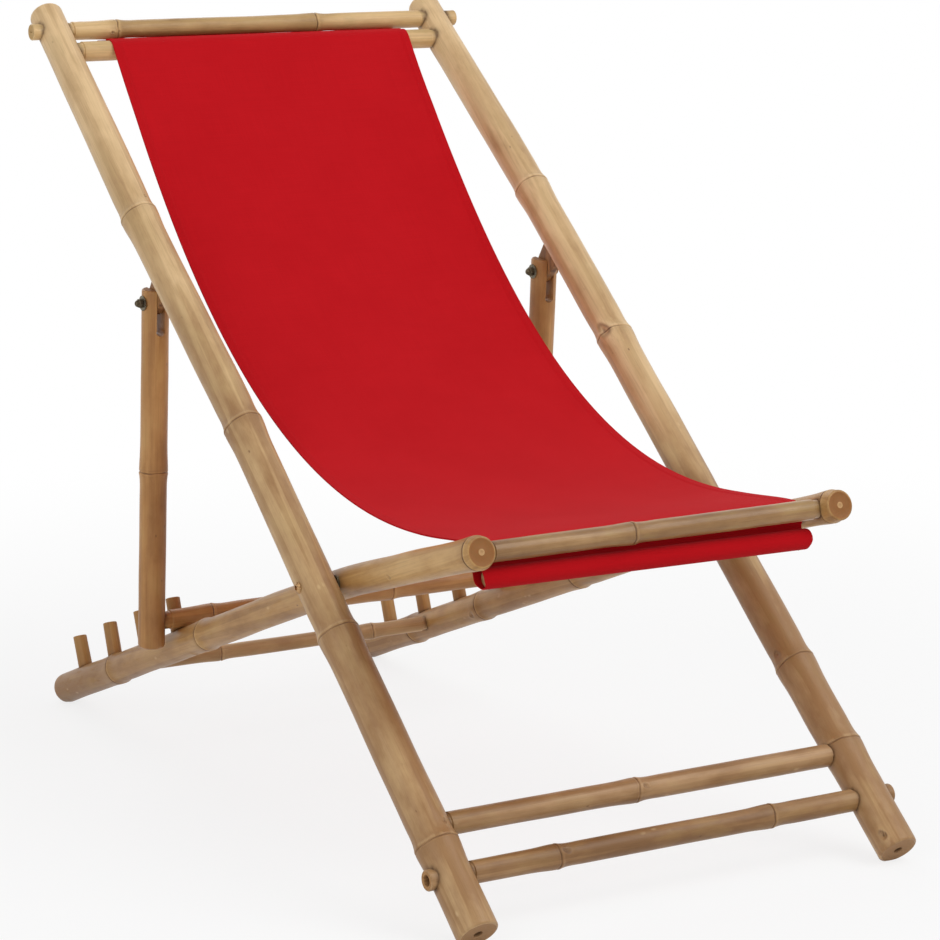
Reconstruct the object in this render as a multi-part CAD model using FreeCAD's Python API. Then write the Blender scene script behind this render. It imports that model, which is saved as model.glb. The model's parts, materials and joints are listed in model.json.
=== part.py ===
import FreeCAD, Part
import math
import os
from FreeCAD import Vector

# Folding recliner of bamboo poles with a hung canvas sling.
# Millimetres, +Z up. The chair faces -Y and +X is the sitter's left. The floor is Z = 0 and
# the origin is under the middle of the chair's box. Three frames make it: the long back frame,
# the seat frame inside it, and a prop frame whose cross rail rests on the seat poles against
# a pair of pegs.

# Back frame: two long poles joined by two top rails and two rungs
back_pole_spacing = 540.0
back_pole_length = 1367.0
back_pole_foot_radius = 23.0
back_pole_top_radius = 20.4
back_angle = 40.6
right_bow_stations = (0.0, 389.0, 685.0, 1024.0, 1367.0)
right_bow_rises = (0.0, 2.0, 8.0, -4.0, -1.0)
right_back_pole_nodes = (113.0, 389.0, 685.0, 1024.0)
left_bow_stations = (0.0, 259.0, 764.0, 1020.0, 1367.0)
left_bow_rises = (0.0, 1.5, 7.0, 7.0, -6.0)
left_back_pole_nodes = (142.0, 259.0, 490.0, 764.0, 1020.0)
upper_top_rail_station = 1333.0
upper_top_rail_radius = 11.2
upper_top_rail_overhang = 10.5
upper_top_rail_nodes = (-188.0, 92.0)
canvas_top_rail_pitch = 37.0
canvas_top_rail_radius = 12.3
upper_rung_station = 134.0
upper_rung_radius = 12.7
upper_rung_nodes = (-13.0,)
lower_rung_station = 72.0
lower_rung_radius = 12.5
lower_rung_overhang = 6.5
lower_rung_nodes = (-144.0, 132.0)

# Seat frame: two shorter poles inside the back poles, bent a little at the pivot
pivot_station = 454.0
pivot_rise = 3.4
pole_gap = 2.3
seat_rear_angle = 20.76
seat_front_angle = 16.8
seat_front_length = 294.0
seat_pole_front_radius = 17.0
seat_pole_rear_radius = 19.3
right_seat_pole_nodes = (-285.0, 380.0, 657.0)
left_seat_pole_nodes = (-279.0, 259.0, 500.0, 690.0)
front_rail_inset = 22.0
front_rail_radius = 11.3
front_rail_nodes = (-33.0,)
canvas_front_rail_pitch = 37.0
canvas_front_rail_radius = 12.3
rear_cross_rail_station = 641.0
rear_cross_rail_radius = 9.6
rear_cross_rail_nodes = (-95.0, 128.0)
peg_count = 4
first_peg_station = 465.0
peg_pitch = 100.0
peg_radius = 9.2
peg_stand = 41.5
peg_depth = 16.0

# Prop frame: two forked struts hung from lugs under the back poles
lug_station = 926.5
lug_drop = 52.0
lug_thickness = 9.4
lug_width = 38.0
lug_end_radius = 14.5
lug_depth = 12.0
strut_radius = 16.3
strut_above_bolt = 16.0
strut_below_rail = 31.5
strut_node_station = 206.5
fork_slot_width = 10.4
fork_slot_depth = 33.0
fork_hole_radius = 5.6
strut_rail_radius = 12.0
strut_rail_nodes = (-192.0, 60.0)

# Sling and the dowels in its two hems
sling_thickness = 1.2
sling_side_gap = 1.4
sling_drop_upper = (490.8, 342.6)
sling_drop_middle = (190.3, -42.1)
sling_drop_lower = (-117.3, 84.0)
sling_curve_steps = 24
hem_dowel_radius = 10.0
hem_dowel_end_gap = 5.0
top_hem_drop = 21.5
front_hem_drop = 26.0

# Hardware
bolt_radius = 3.0
bolt_head_radius = 6.5
bolt_head_height = 3.0
washer_radius = 9.0
pivot_washer_thickness = 2.0
nut_washer_thickness = 1.0
nut_across_flats = 10.0
nut_height = 5.0
nut_dome_radius = 4.4
nail_radius = 1.3
nail_sink = 1.0

# Shared workmanship
node_rise = 1.4
node_half_length = 5.0
end_round = 3.0
rear_end_round = 8.0
socket_depth = 18.0
shoulder_step = 1.2
shoulder_reach = 7.0
foot_flat_depth = 1.2
floor_block_depth = 100.0
running_gap = 0.06
glue_gap = 0.05
rest_gap = 0.3
cut_margin = 5.0

X_AXIS = Vector(1, 0, 0)
back_pole_bows = {-1: tuple(zip(right_bow_stations, right_bow_rises)),
                  1: tuple(zip(left_bow_stations, left_bow_rises))}
back_pole_nodes = {-1: right_back_pole_nodes, 1: left_back_pole_nodes}
seat_pole_nodes = {-1: right_seat_pole_nodes, 1: left_seat_pole_nodes}


def tilted(angle):
    """Unit vector in the YZ plane at an angle above +Y, in degrees."""
    return Vector(0, math.cos(math.radians(angle)), math.sin(math.radians(angle)))


def radius_between(station, start, end, start_radius, end_radius):
    """Radius of a tapered pole at a station between its two ends."""
    return start_radius + (end_radius - start_radius) * (station - start) / (end - start)


# Directions and reference points, with Y measured from the front feet until the end
back_dir = tilted(back_angle)
back_up = tilted(back_angle + 90)
seat_rear_dir = tilted(-seat_rear_angle)
seat_rear_up = tilted(90 - seat_rear_angle)
seat_front_dir = tilted(180 - seat_front_angle)
seat_front_up = tilted(90 - seat_front_angle)
back_x = back_pole_spacing / 2
foot_rim = Vector(end_round, end_round - back_pole_foot_radius)
foot_height = end_round - foot_rim.x * back_dir.z - foot_rim.y * back_dir.y - foot_flat_depth
foot_centre = Vector(0, 0, foot_height)


def back_point(station, rise=0.0, x=0.0):
    """Point beside a back pole: a distance up it and a rise above its line."""
    return foot_centre + back_dir * station + back_up * rise + X_AXIS * x


def back_radius(station):
    return radius_between(station, 0, back_pole_length, back_pole_foot_radius, back_pole_top_radius)


pivot = back_point(pivot_station, pivot_rise)
rear_sine = math.sin(math.radians(seat_rear_angle))
rear_cosine = math.cos(math.radians(seat_rear_angle))
rear_end_height = (seat_pole_rear_radius - rear_end_round) * rear_cosine + rear_end_round - foot_flat_depth
seat_rear_length = rear_end_round + (pivot.z - rear_end_height) / rear_sine


def seat_radius(station):
    """Seat pole radius, by the distance behind the pivot (negative in front of it)."""
    return radius_between(station, -seat_front_length, seat_rear_length,
                          seat_pole_front_radius, seat_pole_rear_radius)


seat_x = back_x - back_radius(pivot_station) - pole_gap - seat_radius(0)


def seat_point(station, rise=0.0, x=0.0):
    """Point beside a seat pole: behind the pivot when the station is positive, else in front."""
    if station >= 0:
        along, up = seat_rear_dir * station, seat_rear_up * rise
    else:
        along, up = seat_front_dir * -station, seat_front_up * rise
    return pivot + along + up + X_AXIS * x


def turned(profile, start, direction):
    """Solid of revolution from (distance, radius) points laid along a direction.

    A third entry of a point rounds the profile's corner there with that radius.
    """
    points = [(profile[0][0], 0.0)] + list(profile) + [(profile[-1][0], 0.0)]
    edges = []
    last = Vector(points[0][0], 0, 0)
    for before, here, after in zip(points, points[1:], points[2:]):
        corner = Vector(here[0], here[1], 0)
        if len(here) == 3:
            inward = (Vector(before[0], before[1], 0) - corner).normalize()
            onward = (Vector(after[0], after[1], 0) - corner).normalize()
            middle = corner + (inward + onward) * here[2] * (1 - math.sqrt(0.5))
            edges.append(Part.makeLine(last, corner + inward * here[2]))
            last = corner + onward * here[2]
            edges.append(Part.Arc(corner + inward * here[2], middle, last).toShape())
        else:
            edges.append(Part.makeLine(last, corner))
            last = corner
    edges.append(Part.makeLine(last, Vector(points[-1][0], 0, 0)))
    edges.append(Part.makeLine(Vector(points[-1][0], 0, 0), Vector(points[0][0], 0, 0)))
    solid = Part.Face(Part.Wire(edges)).revolve(Vector(0, 0, 0), X_AXIS, 360)
    solid.Placement = FreeCAD.Placement(start, FreeCAD.Rotation(X_AXIS, direction))
    return solid


def rod(start, end, radius):
    """Plain cylinder between two points."""
    return Part.makeCylinder(radius, (end - start).Length, start, end - start)


def ring(station, radius):
    """Profile points of one bamboo node: a short ridge around the culm."""
    return [(station - node_half_length, radius), (station - 1, radius + node_rise),
            (station + 1, radius + node_rise), (station + node_half_length * 0.6, radius)]


def culm(corners, radius_at, nodes, first_round, last_round):
    """Bamboo pole along straight stretches, with a ridge at each node.

    corners are (station, point) pairs, radius_at gives the radius at a station.
    """
    pieces = []
    for (start, low), (end, high) in zip(corners, corners[1:]):
        rounded_start = start == corners[0][0]
        rounded_end = end == corners[-1][0]
        profile = [(0, radius_at(start), first_round) if rounded_start else (0, radius_at(start))]
        for node in nodes:
            if start + node_half_length <= node <= end - node_half_length:
                profile += ring(node - start, radius_at(node))
        length = (high - low).Length
        profile.append((length, radius_at(end), last_round) if rounded_end else (length, radius_at(end)))
        pieces.append(turned(profile, low, (high - low).normalize()))
        if not rounded_start:
            is_node = any(abs(node - start) < node_half_length for node in nodes)
            pieces.append(Part.makeSphere(radius_at(start) + (node_rise if is_node else 0), low))
    return pieces[0].fuse(pieces[1:]).removeSplitter() if len(pieces) > 1 else pieces[0]


def rail(centre, half_span, radius, nodes, tenon_reach, rounding):
    """Cross rail along X with a turned tenon at each end.

    half_span is where the shoulders are, tenon_reach how far each tenon runs past it.
    """
    tenon = radius - shoulder_step
    end = half_span + tenon_reach
    profile = [(-end, tenon, rounding), (-half_span - 1, tenon), (-half_span, radius)]
    for node in sorted(nodes):
        profile += ring(node, radius)
    profile += [(half_span, radius), (half_span + 1, tenon), (end, tenon, rounding)]
    return turned(profile, centre, X_AXIS)


def bore(centre, x_from, x_to, radius):
    """Cutting tool for a hole along X."""
    low, high = min(x_from, x_to), max(x_from, x_to)
    return Part.makeCylinder(radius, high - low, Vector(low, centre.y, centre.z), X_AXIS)


def through_hole(centre, side, pole_x, pole_radius, radius):
    """Cutting tool for a hole along X through one whole pole."""
    reach = pole_radius + cut_margin
    return bore(centre, side * (pole_x - reach), side * (pole_x + reach), radius)


def socket(centre, side, pole_x, pole_radius, tenon_radius):
    """Cutting tool for a blind hole in the inner side of a pole."""
    inner = side * (pole_x - pole_radius)
    return bore(centre, inner - side * pole_radius, inner + side * socket_depth, tenon_radius + glue_gap)


def hexagon_nut(centre, side):
    """Domed nut on the side of a flat face, with its hole filled by the bolt's end."""
    corner_radius = nut_across_flats / math.sqrt(3)
    corners = [Vector(0, corner_radius * math.cos(math.radians(60 * k)),
                      corner_radius * math.sin(math.radians(60 * k))) for k in range(7)]
    body = Part.Face(Part.makePolygon(corners)).extrude(X_AXIS * side * nut_height)
    dome = Part.makeSphere(nut_dome_radius, X_AXIS * side * nut_height)
    nut = body.fuse(dome).removeSplitter()
    nut.translate(centre)
    return nut.cut(bore(centre, centre.x - side, centre.x + side * nut_height, bolt_radius + glue_gap))


def washer(centre, side, thickness, hole_radius):
    """Flat ring along X that starts at a point."""
    outer = Part.makeCylinder(washer_radius, thickness, centre, X_AXIS * side)
    return outer.cut(Part.makeCylinder(hole_radius, thickness, centre, X_AXIS * side))


def bolt(head_face, side, length):
    """Bolt along X: a domed head on the face, a shank that runs back towards -side."""
    shank = Part.makeCylinder(bolt_radius, length, head_face, X_AXIS * -side)
    head = turned([(0, bolt_head_radius), (bolt_head_height, bolt_head_radius, 2.2)],
                  head_face, X_AXIS * side)
    return shank.fuse(head).removeSplitter()


def tangent_point(outside, centre, radius, turn):
    """Point where the line from an outside point touches a circle in the YZ plane."""
    to_outside = outside - centre
    angle = math.acos(radius / to_outside.Length) * turn
    direction = FreeCAD.Rotation(X_AXIS, math.degrees(angle)).multVec(to_outside.normalize())
    return centre + direction * radius


# Rail and rung places
rail_seats = {
    "upper_top_rail": back_point(upper_top_rail_station),
    "canvas_top_rail": back_point(upper_top_rail_station - canvas_top_rail_pitch),
    "upper_rung": back_point(upper_rung_station),
    "lower_rung": back_point(lower_rung_station),
}
front_rail_station = front_rail_inset - seat_front_length
canvas_front_rail_station = front_rail_station + canvas_front_rail_pitch
front_rail_seat = seat_point(front_rail_station)
canvas_front_rail_seat = seat_point(canvas_front_rail_station)
rear_cross_rail_seat = seat_point(rear_cross_rail_station)
lug_axis = back_point(lug_station, -lug_drop)
strut_rail_station = first_peg_station - peg_radius - strut_rail_radius - rest_gap
strut_rail_seat = seat_point(strut_rail_station,
                             seat_radius(strut_rail_station) + strut_rail_radius + rest_gap)
strut_rail_inner = back_x - strut_radius
strut_dir = (strut_rail_seat - lug_axis).normalize()
strut_front = strut_dir.cross(X_AXIS)
strut_reach = (strut_rail_seat - lug_axis).Length
strut_length = strut_above_bolt + strut_reach + strut_below_rail


def back_rail(name, radius, nodes):
    """Cross rail of the back frame that sits in blind sockets."""
    station = (rail_seats[name] - foot_centre).dot(back_dir)
    inner = back_x - back_radius(station)
    return rail(rail_seats[name], inner - shoulder_reach, radius, nodes,
                shoulder_reach + socket_depth - glue_gap, 1)


def through_rail(name, radius, nodes, overhang):
    """Cross rail of the back frame whose ends show outside both poles."""
    station = (rail_seats[name] - foot_centre).dot(back_dir)
    inner = back_x - back_radius(station)
    tenon_reach = shoulder_reach + 2 * back_radius(station) + overhang
    return rail(rail_seats[name], inner - shoulder_reach, radius, nodes, tenon_reach, 2.5)


def seat_rail(seat, station, radius, nodes):
    """Cross rail of the seat frame between the two seat poles."""
    inner = seat_x - seat_radius(station)
    return rail(seat, inner - shoulder_reach, radius, nodes, shoulder_reach + socket_depth - glue_gap, 1)


def lug_outline(growth, side):
    """Solid of the lug, or with growth the mortise that takes it."""
    half = lug_width / 2 + growth
    bow = bow_at(side, lug_station)
    top = back_point(lug_station, bow - back_radius(lug_station) + lug_depth + growth)
    tip_radius = lug_end_radius + growth
    corners = [top - back_dir * half, top + back_dir * half,
               lug_axis + back_dir * tip_radius, lug_axis - back_dir * tip_radius]
    corners.append(corners[0])
    thickness = lug_thickness + 2 * growth
    shift = X_AXIS * (side * back_x - thickness / 2)
    plate = Part.Face(Part.makePolygon([c + shift for c in corners])).extrude(X_AXIS * thickness)
    tip = Part.makeCylinder(tip_radius, thickness, lug_axis + shift, X_AXIS)
    return plate.fuse(tip).removeSplitter()


def bow_at(side, station):
    """How far a back pole's line lies above the straight line at a station."""
    bows = back_pole_bows[side]
    for (start, low), (end, high) in zip(bows, bows[1:]):
        if station <= end:
            return low + (high - low) * (station - start) / (end - start)
    return bows[-1][1]


def back_pole(side):
    """One long pole with its holes for rails, rungs, lug and pivot bolt."""
    ends = back_pole_bows[side][-1][0]
    corners = [(station * back_pole_length / ends,
                back_point(station * back_pole_length / ends, bow, side * back_x))
               for station, bow in back_pole_bows[side]]
    pole = culm(corners, back_radius, back_pole_nodes[side], end_round, end_round)
    cuts = [through_hole(pivot, side, back_x, back_radius(pivot_station), bolt_radius + glue_gap)]
    for name, radius in (("upper_top_rail", upper_top_rail_radius), ("lower_rung", lower_rung_radius)):
        cuts.append(through_hole(rail_seats[name], side, back_x, back_pole_foot_radius,
                                 radius - shoulder_step + glue_gap))
    for name, radius in (("canvas_top_rail", canvas_top_rail_radius), ("upper_rung", upper_rung_radius)):
        station = (rail_seats[name] - foot_centre).dot(back_dir)
        cuts.append(socket(rail_seats[name], side, back_x, back_radius(station), radius - shoulder_step))
    cuts.append(lug_outline(glue_gap, side))
    return pole.cut(cuts).cut(floor_block)


def seat_pole(side):
    """One seat pole, bent at the pivot, with holes for rails, pegs and pivot bolt."""
    corners = [(station, seat_point(station, 0, side * seat_x))
               for station in (-seat_front_length, 0.0, seat_rear_length)]
    pole = culm(corners, seat_radius, seat_pole_nodes[side], end_round, rear_end_round)
    cuts = [through_hole(pivot, side, seat_x, seat_radius(0), bolt_radius + running_gap),
            nail(side, "seat", glue_gap)]
    for seat, station, radius in ((front_rail_seat, front_rail_station, front_rail_radius),
                                  (canvas_front_rail_seat, canvas_front_rail_station,
                                   canvas_front_rail_radius),
                                  (rear_cross_rail_seat, rear_cross_rail_station, rear_cross_rail_radius)):
        cuts.append(socket(seat, side, seat_x, seat_radius(station), radius - shoulder_step))
    for station in peg_stations:
        root = seat_point(station, seat_radius(station) - peg_depth - glue_gap, side * seat_x)
        cuts.append(rod(root, root + seat_rear_up * (peg_depth + peg_stand), peg_radius + glue_gap))
    return pole.cut(cuts).cut(floor_block)


def peg(side, station):
    """Short round peg that stands square on a seat pole."""
    root = seat_point(station, seat_radius(station) - peg_depth, side * seat_x)
    return turned([(0, peg_radius), (peg_depth + peg_stand, peg_radius, 1.2)], root, seat_rear_up)


def nail(side, place, gap):
    """Nail that locks a cross rail's tenon, or with a gap the hole that takes it.

    The strut's nail goes in at its front, the seat pole's at its underside.
    """
    if place == "strut":
        seat, direction = strut_rail_seat, strut_front
        tenon_end, wood = strut_rail_inner + socket_depth, strut_radius
    else:
        seat, direction = rear_cross_rail_seat, seat_rear_up
        wood = seat_radius(rear_cross_rail_station)
        tenon_end = seat_x - wood + socket_depth
    across = tenon_end - socket_depth / 2
    pole_x = back_x if place == "strut" else seat_x
    surface = math.sqrt(wood ** 2 - (pole_x - across) ** 2)
    centre = seat + X_AXIS * side * across
    start = centre - direction * (surface - nail_sink + gap)
    return rod(start, centre + direction * gap, nail_radius + gap)


def strut(side):
    """Forked strut that hangs from the lug, with the socket of its cross rail."""
    top = lug_axis - strut_dir * strut_above_bolt + X_AXIS * side * back_x
    profile = [(0, strut_radius, 4)] + ring(strut_above_bolt + strut_node_station, strut_radius)
    profile.append((strut_length, strut_radius, 5))
    body = turned(profile, top, strut_dir)
    slot_end = lug_axis + strut_dir * fork_slot_depth + X_AXIS * side * back_x
    reach = strut_front * (strut_radius + cut_margin)
    slot_top = slot_end - strut_dir * (fork_slot_depth + strut_above_bolt + cut_margin)
    outline = [slot_end - reach, slot_end + reach, slot_top + reach, slot_top - reach, slot_end - reach]
    slot = Part.Face(Part.makePolygon(outline)).extrude(X_AXIS * fork_slot_width)
    slot.translate(X_AXIS * -fork_slot_width / 2)
    hole = rod(slot_end - reach, slot_end + reach, fork_hole_radius)
    bolt_hole = through_hole(lug_axis, side, back_x, strut_radius, bolt_radius + running_gap)
    rail_hole = socket(strut_rail_seat, side, back_x, strut_radius, strut_rail_radius - shoulder_step)
    return body.cut([slot, hole, bolt_hole, rail_hole, nail(side, "strut", glue_gap)])


def strut_cross_rail():
    """Rail that joins the struts and rests on the seat poles, nailed at both ends."""
    body = rail(strut_rail_seat, strut_rail_inner - shoulder_reach, strut_rail_radius, strut_rail_nodes,
                shoulder_reach + socket_depth - glue_gap, 1)
    return body.cut([nail(side, "strut", glue_gap) for side in (-1, 1)])


def sling_path():
    """Centre line of the canvas in the YZ plane, and the centres of its two hems."""
    half = sling_thickness / 2
    top_rail = rail_seats["canvas_top_rail"]
    front_rail = canvas_front_rail_seat
    top_turn = canvas_top_rail_radius + rest_gap + half
    front_turn = canvas_front_rail_radius + rest_gap + half
    hem_turn = hem_dowel_radius + rest_gap + half
    upper, middle, lower = (Vector(0, pivot.y + y, pivot.z + z)
                            for y, z in (sling_drop_upper, sling_drop_middle, sling_drop_lower))
    leave_top = tangent_point(upper, top_rail, top_turn, -1)
    reach_front = tangent_point(lower, front_rail, front_turn, 1)
    crest_top = top_rail + (back_up + back_dir).normalize() * top_turn
    crest_front = front_rail + (seat_front_up + seat_front_dir).normalize() * front_turn
    edge_top = top_rail + back_dir * top_turn
    edge_front = front_rail + seat_front_dir * front_turn
    hem_top = edge_top + back_dir * hem_turn - back_up * top_hem_drop
    hem_front = edge_front + seat_front_dir * hem_turn - seat_front_up * front_hem_drop
    return {"hem_top": hem_top, "hem_front": hem_front, "hem_turn": hem_turn,
            "top": (edge_top, crest_top, leave_top), "front": (edge_front, crest_front, reach_front),
            "sag": (leave_top, upper, middle, lower, reach_front)}


def strip(start, end):
    """Flat stretch of canvas between two points of its centre line."""
    across = (end - start).normalize().cross(X_AXIS) * (sling_thickness / 2)
    corners = [start - across, end - across, end + across, start + across, start - across]
    return Part.Face(Part.makePolygon(corners)).extrude(X_AXIS * 2 * sling_half_width)


def bent(centre, points):
    """Canvas bent round a rail, along an arc through three points of its centre line."""
    sides = []
    for offset in (-sling_thickness / 2, sling_thickness / 2):
        moved = [point + (point - centre).normalize() * offset for point in points]
        sides.append(Part.Arc(*moved).toShape())
    ends = [Part.makeLine(sides[0].Vertexes[k].Point, sides[1].Vertexes[k].Point) for k in (0, -1)]
    wire = Part.Wire(Part.__sortEdges__(sides + ends))
    return Part.Face(wire).extrude(X_AXIS * 2 * sling_half_width)


def sagging(poles):
    """Hanging part of the canvas: a smooth curve given a thickness."""
    curve = Part.BezierCurve()
    curve.setPoles(list(poles))
    places = [k / sling_curve_steps for k in range(sling_curve_steps + 1)]
    points = [curve.value(place) for place in places]
    normals = [curve.tangent(place)[0].cross(X_AXIS) * (sling_thickness / 2) for place in places]
    sides = []
    for sign in (-1, 1):
        side = Part.BSplineCurve()
        side.interpolate([point + normal * sign for point, normal in zip(points, normals)])
        sides.append(side.toShape())
    ends = [Part.makeLine(sides[0].Vertexes[k].Point, sides[1].Vertexes[k].Point) for k in (0, -1)]
    wire = Part.Wire(Part.__sortEdges__(sides + ends))
    return Part.Face(wire).extrude(X_AXIS * 2 * sling_half_width)


def canvas():
    """Whole sling: two hems, the turns over the rails and the hanging part."""
    path = sling_path()
    pieces = [sagging(path["sag"])]
    for key, rail_centre, up in (("top", rail_seats["canvas_top_rail"], back_up),
                                 ("front", canvas_front_rail_seat, seat_front_up)):
        edge, crest, leave = path[key]
        hem = path["hem_" + key]
        drop = top_hem_drop if key == "top" else front_hem_drop
        pieces.append(bent(rail_centre, (edge, crest, leave)))
        pieces.append(strip(edge, edge - up * drop))
        outer = Part.makeCylinder(path["hem_turn"] + sling_thickness / 2, 2 * sling_half_width, hem, X_AXIS)
        inner = Part.makeCylinder(path["hem_turn"] - sling_thickness / 2, 2 * sling_half_width, hem, X_AXIS)
        pieces.append(outer.cut(inner))
    sheet = pieces[0].fuse(pieces[1:]).removeSplitter()
    sheet.translate(X_AXIS * -sling_half_width)
    return sheet


def hem_dowel(centre):
    """Dowel inside a hem, a little shorter than the canvas is wide."""
    half = sling_half_width - hem_dowel_end_gap
    profile = [(-half, hem_dowel_radius, 1.5), (half, hem_dowel_radius, 1.5)]
    return turned(profile, centre, X_AXIS)


def pivot_hardware(side):
    """Bolt, spacer washer, nut washer and nut of one pivot."""
    outer_face = pivot + X_AXIS * side * (back_x + back_radius(pivot_station) + glue_gap)
    spacer_face = pivot + X_AXIS * side * (seat_x + seat_radius(0) + (pole_gap - pivot_washer_thickness) / 2)
    inner_face = pivot + X_AXIS * side * (seat_x - seat_radius(0) - running_gap)
    nut_face = inner_face - X_AXIS * side * nut_washer_thickness
    length = (outer_face - nut_face).Length + nut_height - 1
    return {"bolt": bolt(outer_face, side, length),
            "spacer": washer(spacer_face, side, pivot_washer_thickness, bolt_radius + glue_gap),
            "washer": washer(inner_face, -side, nut_washer_thickness, bolt_radius + glue_gap),
            "nut": hexagon_nut(nut_face, -side)}


def strut_hardware(side):
    """Bolt and domed nut that hang one strut on its lug, with the nut on the -X side."""
    head_face = lug_axis + X_AXIS * (side * back_x + strut_radius + running_gap)
    washer_face = lug_axis + X_AXIS * (side * back_x - strut_radius - running_gap)
    nut_face = washer_face - X_AXIS * nut_washer_thickness
    length = (head_face - nut_face).Length + nut_height - 1
    return {"bolt": bolt(head_face, 1, length),
            "washer": washer(washer_face, -1, nut_washer_thickness, bolt_radius + glue_gap),
            "nut": hexagon_nut(nut_face, -1)}


sling_half_width = seat_x - seat_radius(canvas_front_rail_station) - sling_side_gap
peg_stations = [first_peg_station + peg_pitch * k for k in range(peg_count)]
floor_block = Part.makeBox(2 * back_pole_spacing, 4 * back_pole_length, floor_block_depth,
                           Vector(-back_pole_spacing, -2 * back_pole_length, -floor_block_depth))
hems = sling_path()
pivots = [pivot_hardware(side) for side in (-1, 1)]
hangers = [strut_hardware(side) for side in (-1, 1)]
lug_hole = bore(lug_axis, -back_pole_spacing, back_pole_spacing, bolt_radius + glue_gap)

nodes = {
    "left_back_pole": back_pole(1),
    "right_back_pole": back_pole(-1),
    "upper_top_rail": through_rail("upper_top_rail", upper_top_rail_radius, upper_top_rail_nodes,
                                   upper_top_rail_overhang),
    "canvas_top_rail": back_rail("canvas_top_rail", canvas_top_rail_radius, ()),
    "upper_rung": back_rail("upper_rung", upper_rung_radius, upper_rung_nodes),
    "lower_rung": through_rail("lower_rung", lower_rung_radius, lower_rung_nodes, lower_rung_overhang),
    "left_strut_lug": lug_outline(0, 1).cut(lug_hole),
    "right_strut_lug": lug_outline(0, -1).cut(lug_hole),
    "pivot_bolts": Part.makeCompound([p["bolt"] for p in pivots]),
    "pivot_spacers": Part.makeCompound([p["spacer"] for p in pivots]),
    "pivot_nut_washers": Part.makeCompound([p["washer"] for p in pivots]),
    "pivot_nuts": Part.makeCompound([p["nut"] for p in pivots]),
    "left_seat_pole": seat_pole(1),
    "right_seat_pole": seat_pole(-1),
    "front_rail": seat_rail(front_rail_seat, front_rail_station, front_rail_radius, front_rail_nodes),
    "canvas_front_rail": seat_rail(canvas_front_rail_seat, canvas_front_rail_station,
                                   canvas_front_rail_radius, ()),
    "rear_cross_rail": seat_rail(rear_cross_rail_seat, rear_cross_rail_station, rear_cross_rail_radius,
                                 rear_cross_rail_nodes).cut([nail(side, "seat", glue_gap)
                                                             for side in (-1, 1)]),
    "left_pegs": Part.makeCompound([peg(1, station) for station in peg_stations]),
    "right_pegs": Part.makeCompound([peg(-1, station) for station in peg_stations]),
    "left_strut": strut(1),
    "right_strut": strut(-1),
    "strut_cross_rail": strut_cross_rail(),
    "strut_bolts": Part.makeCompound([h["bolt"] for h in hangers]),
    "strut_nut_washers": Part.makeCompound([h["washer"] for h in hangers]),
    "strut_nuts": Part.makeCompound([h["nut"] for h in hangers]),
    "strut_rail_nails": Part.makeCompound([nail(side, "strut", 0) for side in (-1, 1)]),
    "cross_rail_nails": Part.makeCompound([nail(side, "seat", 0) for side in (-1, 1)]),
    "canvas_sling": canvas(),
    "top_hem_dowel": hem_dowel(hems["hem_top"]),
    "front_hem_dowel": hem_dowel(hems["hem_front"]),
}

outermost = [nodes[side + frame] for side in ("left", "right") for frame in ("_back_pole", "_seat_pole")]
box = Part.makeCompound(outermost).optimalBoundingBox()
to_origin = Vector(0, -(box.YMin + box.YMax) / 2, 0)
os.makedirs("parts", exist_ok=True)
for name, shape in nodes.items():
    shape.translate(to_origin)
    shape.exportStep("parts/" + name + ".step")
    volume = sum(solid.Volume for solid in shape.Solids)
    print(name, "solids", len(shape.Solids), "valid", shape.isValid(), "cm3", round(volume / 1000, 2))
print("pivot", pivot + to_origin, "lug axis", lug_axis + to_origin)
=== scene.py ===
"""Folding deck chair of bamboo poles with a red canvas sling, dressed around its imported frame.

Metres, +Z up. The chair faces -Y and +X is the sitter's left. Each sub-assembly is a class that
makes its own pieces, and each finish is a class that makes its own material.
"""

import json
import logging
import math
from dataclasses import dataclass, field
from enum import Enum

import bmesh
import bpy
import numpy as np
from mathutils import Matrix, Vector


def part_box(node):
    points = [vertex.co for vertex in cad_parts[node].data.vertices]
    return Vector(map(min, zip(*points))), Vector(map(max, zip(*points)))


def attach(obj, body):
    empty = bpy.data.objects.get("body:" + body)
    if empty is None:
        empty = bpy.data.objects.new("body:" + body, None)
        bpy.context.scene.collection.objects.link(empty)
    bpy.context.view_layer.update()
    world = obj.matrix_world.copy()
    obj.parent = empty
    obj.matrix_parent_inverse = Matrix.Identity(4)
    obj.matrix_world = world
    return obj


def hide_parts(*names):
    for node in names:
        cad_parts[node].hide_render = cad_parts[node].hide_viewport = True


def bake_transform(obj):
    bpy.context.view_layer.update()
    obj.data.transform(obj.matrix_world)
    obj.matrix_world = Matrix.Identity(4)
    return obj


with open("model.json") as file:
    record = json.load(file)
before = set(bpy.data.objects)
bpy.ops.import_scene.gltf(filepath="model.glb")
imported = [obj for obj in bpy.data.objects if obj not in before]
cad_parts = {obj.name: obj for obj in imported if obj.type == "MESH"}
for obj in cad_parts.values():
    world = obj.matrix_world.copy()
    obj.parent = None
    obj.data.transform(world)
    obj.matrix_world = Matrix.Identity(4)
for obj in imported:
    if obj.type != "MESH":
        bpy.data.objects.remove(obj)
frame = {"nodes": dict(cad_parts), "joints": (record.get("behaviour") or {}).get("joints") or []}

LOG = logging.getLogger("deck_chair")
MM = 0.001
TURN = 2.0 * math.pi
X_AXIS = Vector((1.0, 0.0, 0.0))
Y_AXIS = Vector((0.0, 1.0, 0.0))
Z_AXIS = Vector((0.0, 0.0, 1.0))
SIDES = {"left": 1.0, "right": -1.0}

Points = list[Vector]
Triple = tuple[float, float, float]
Rows = tuple[tuple[float, float], ...]
Socket = bpy.types.NodeSocket


class Body(Enum):
    """The frames that move against each other."""

    SEAT = "seat_frame"
    BACK = "back_frame"
    PROP = "prop_frame"


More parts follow.
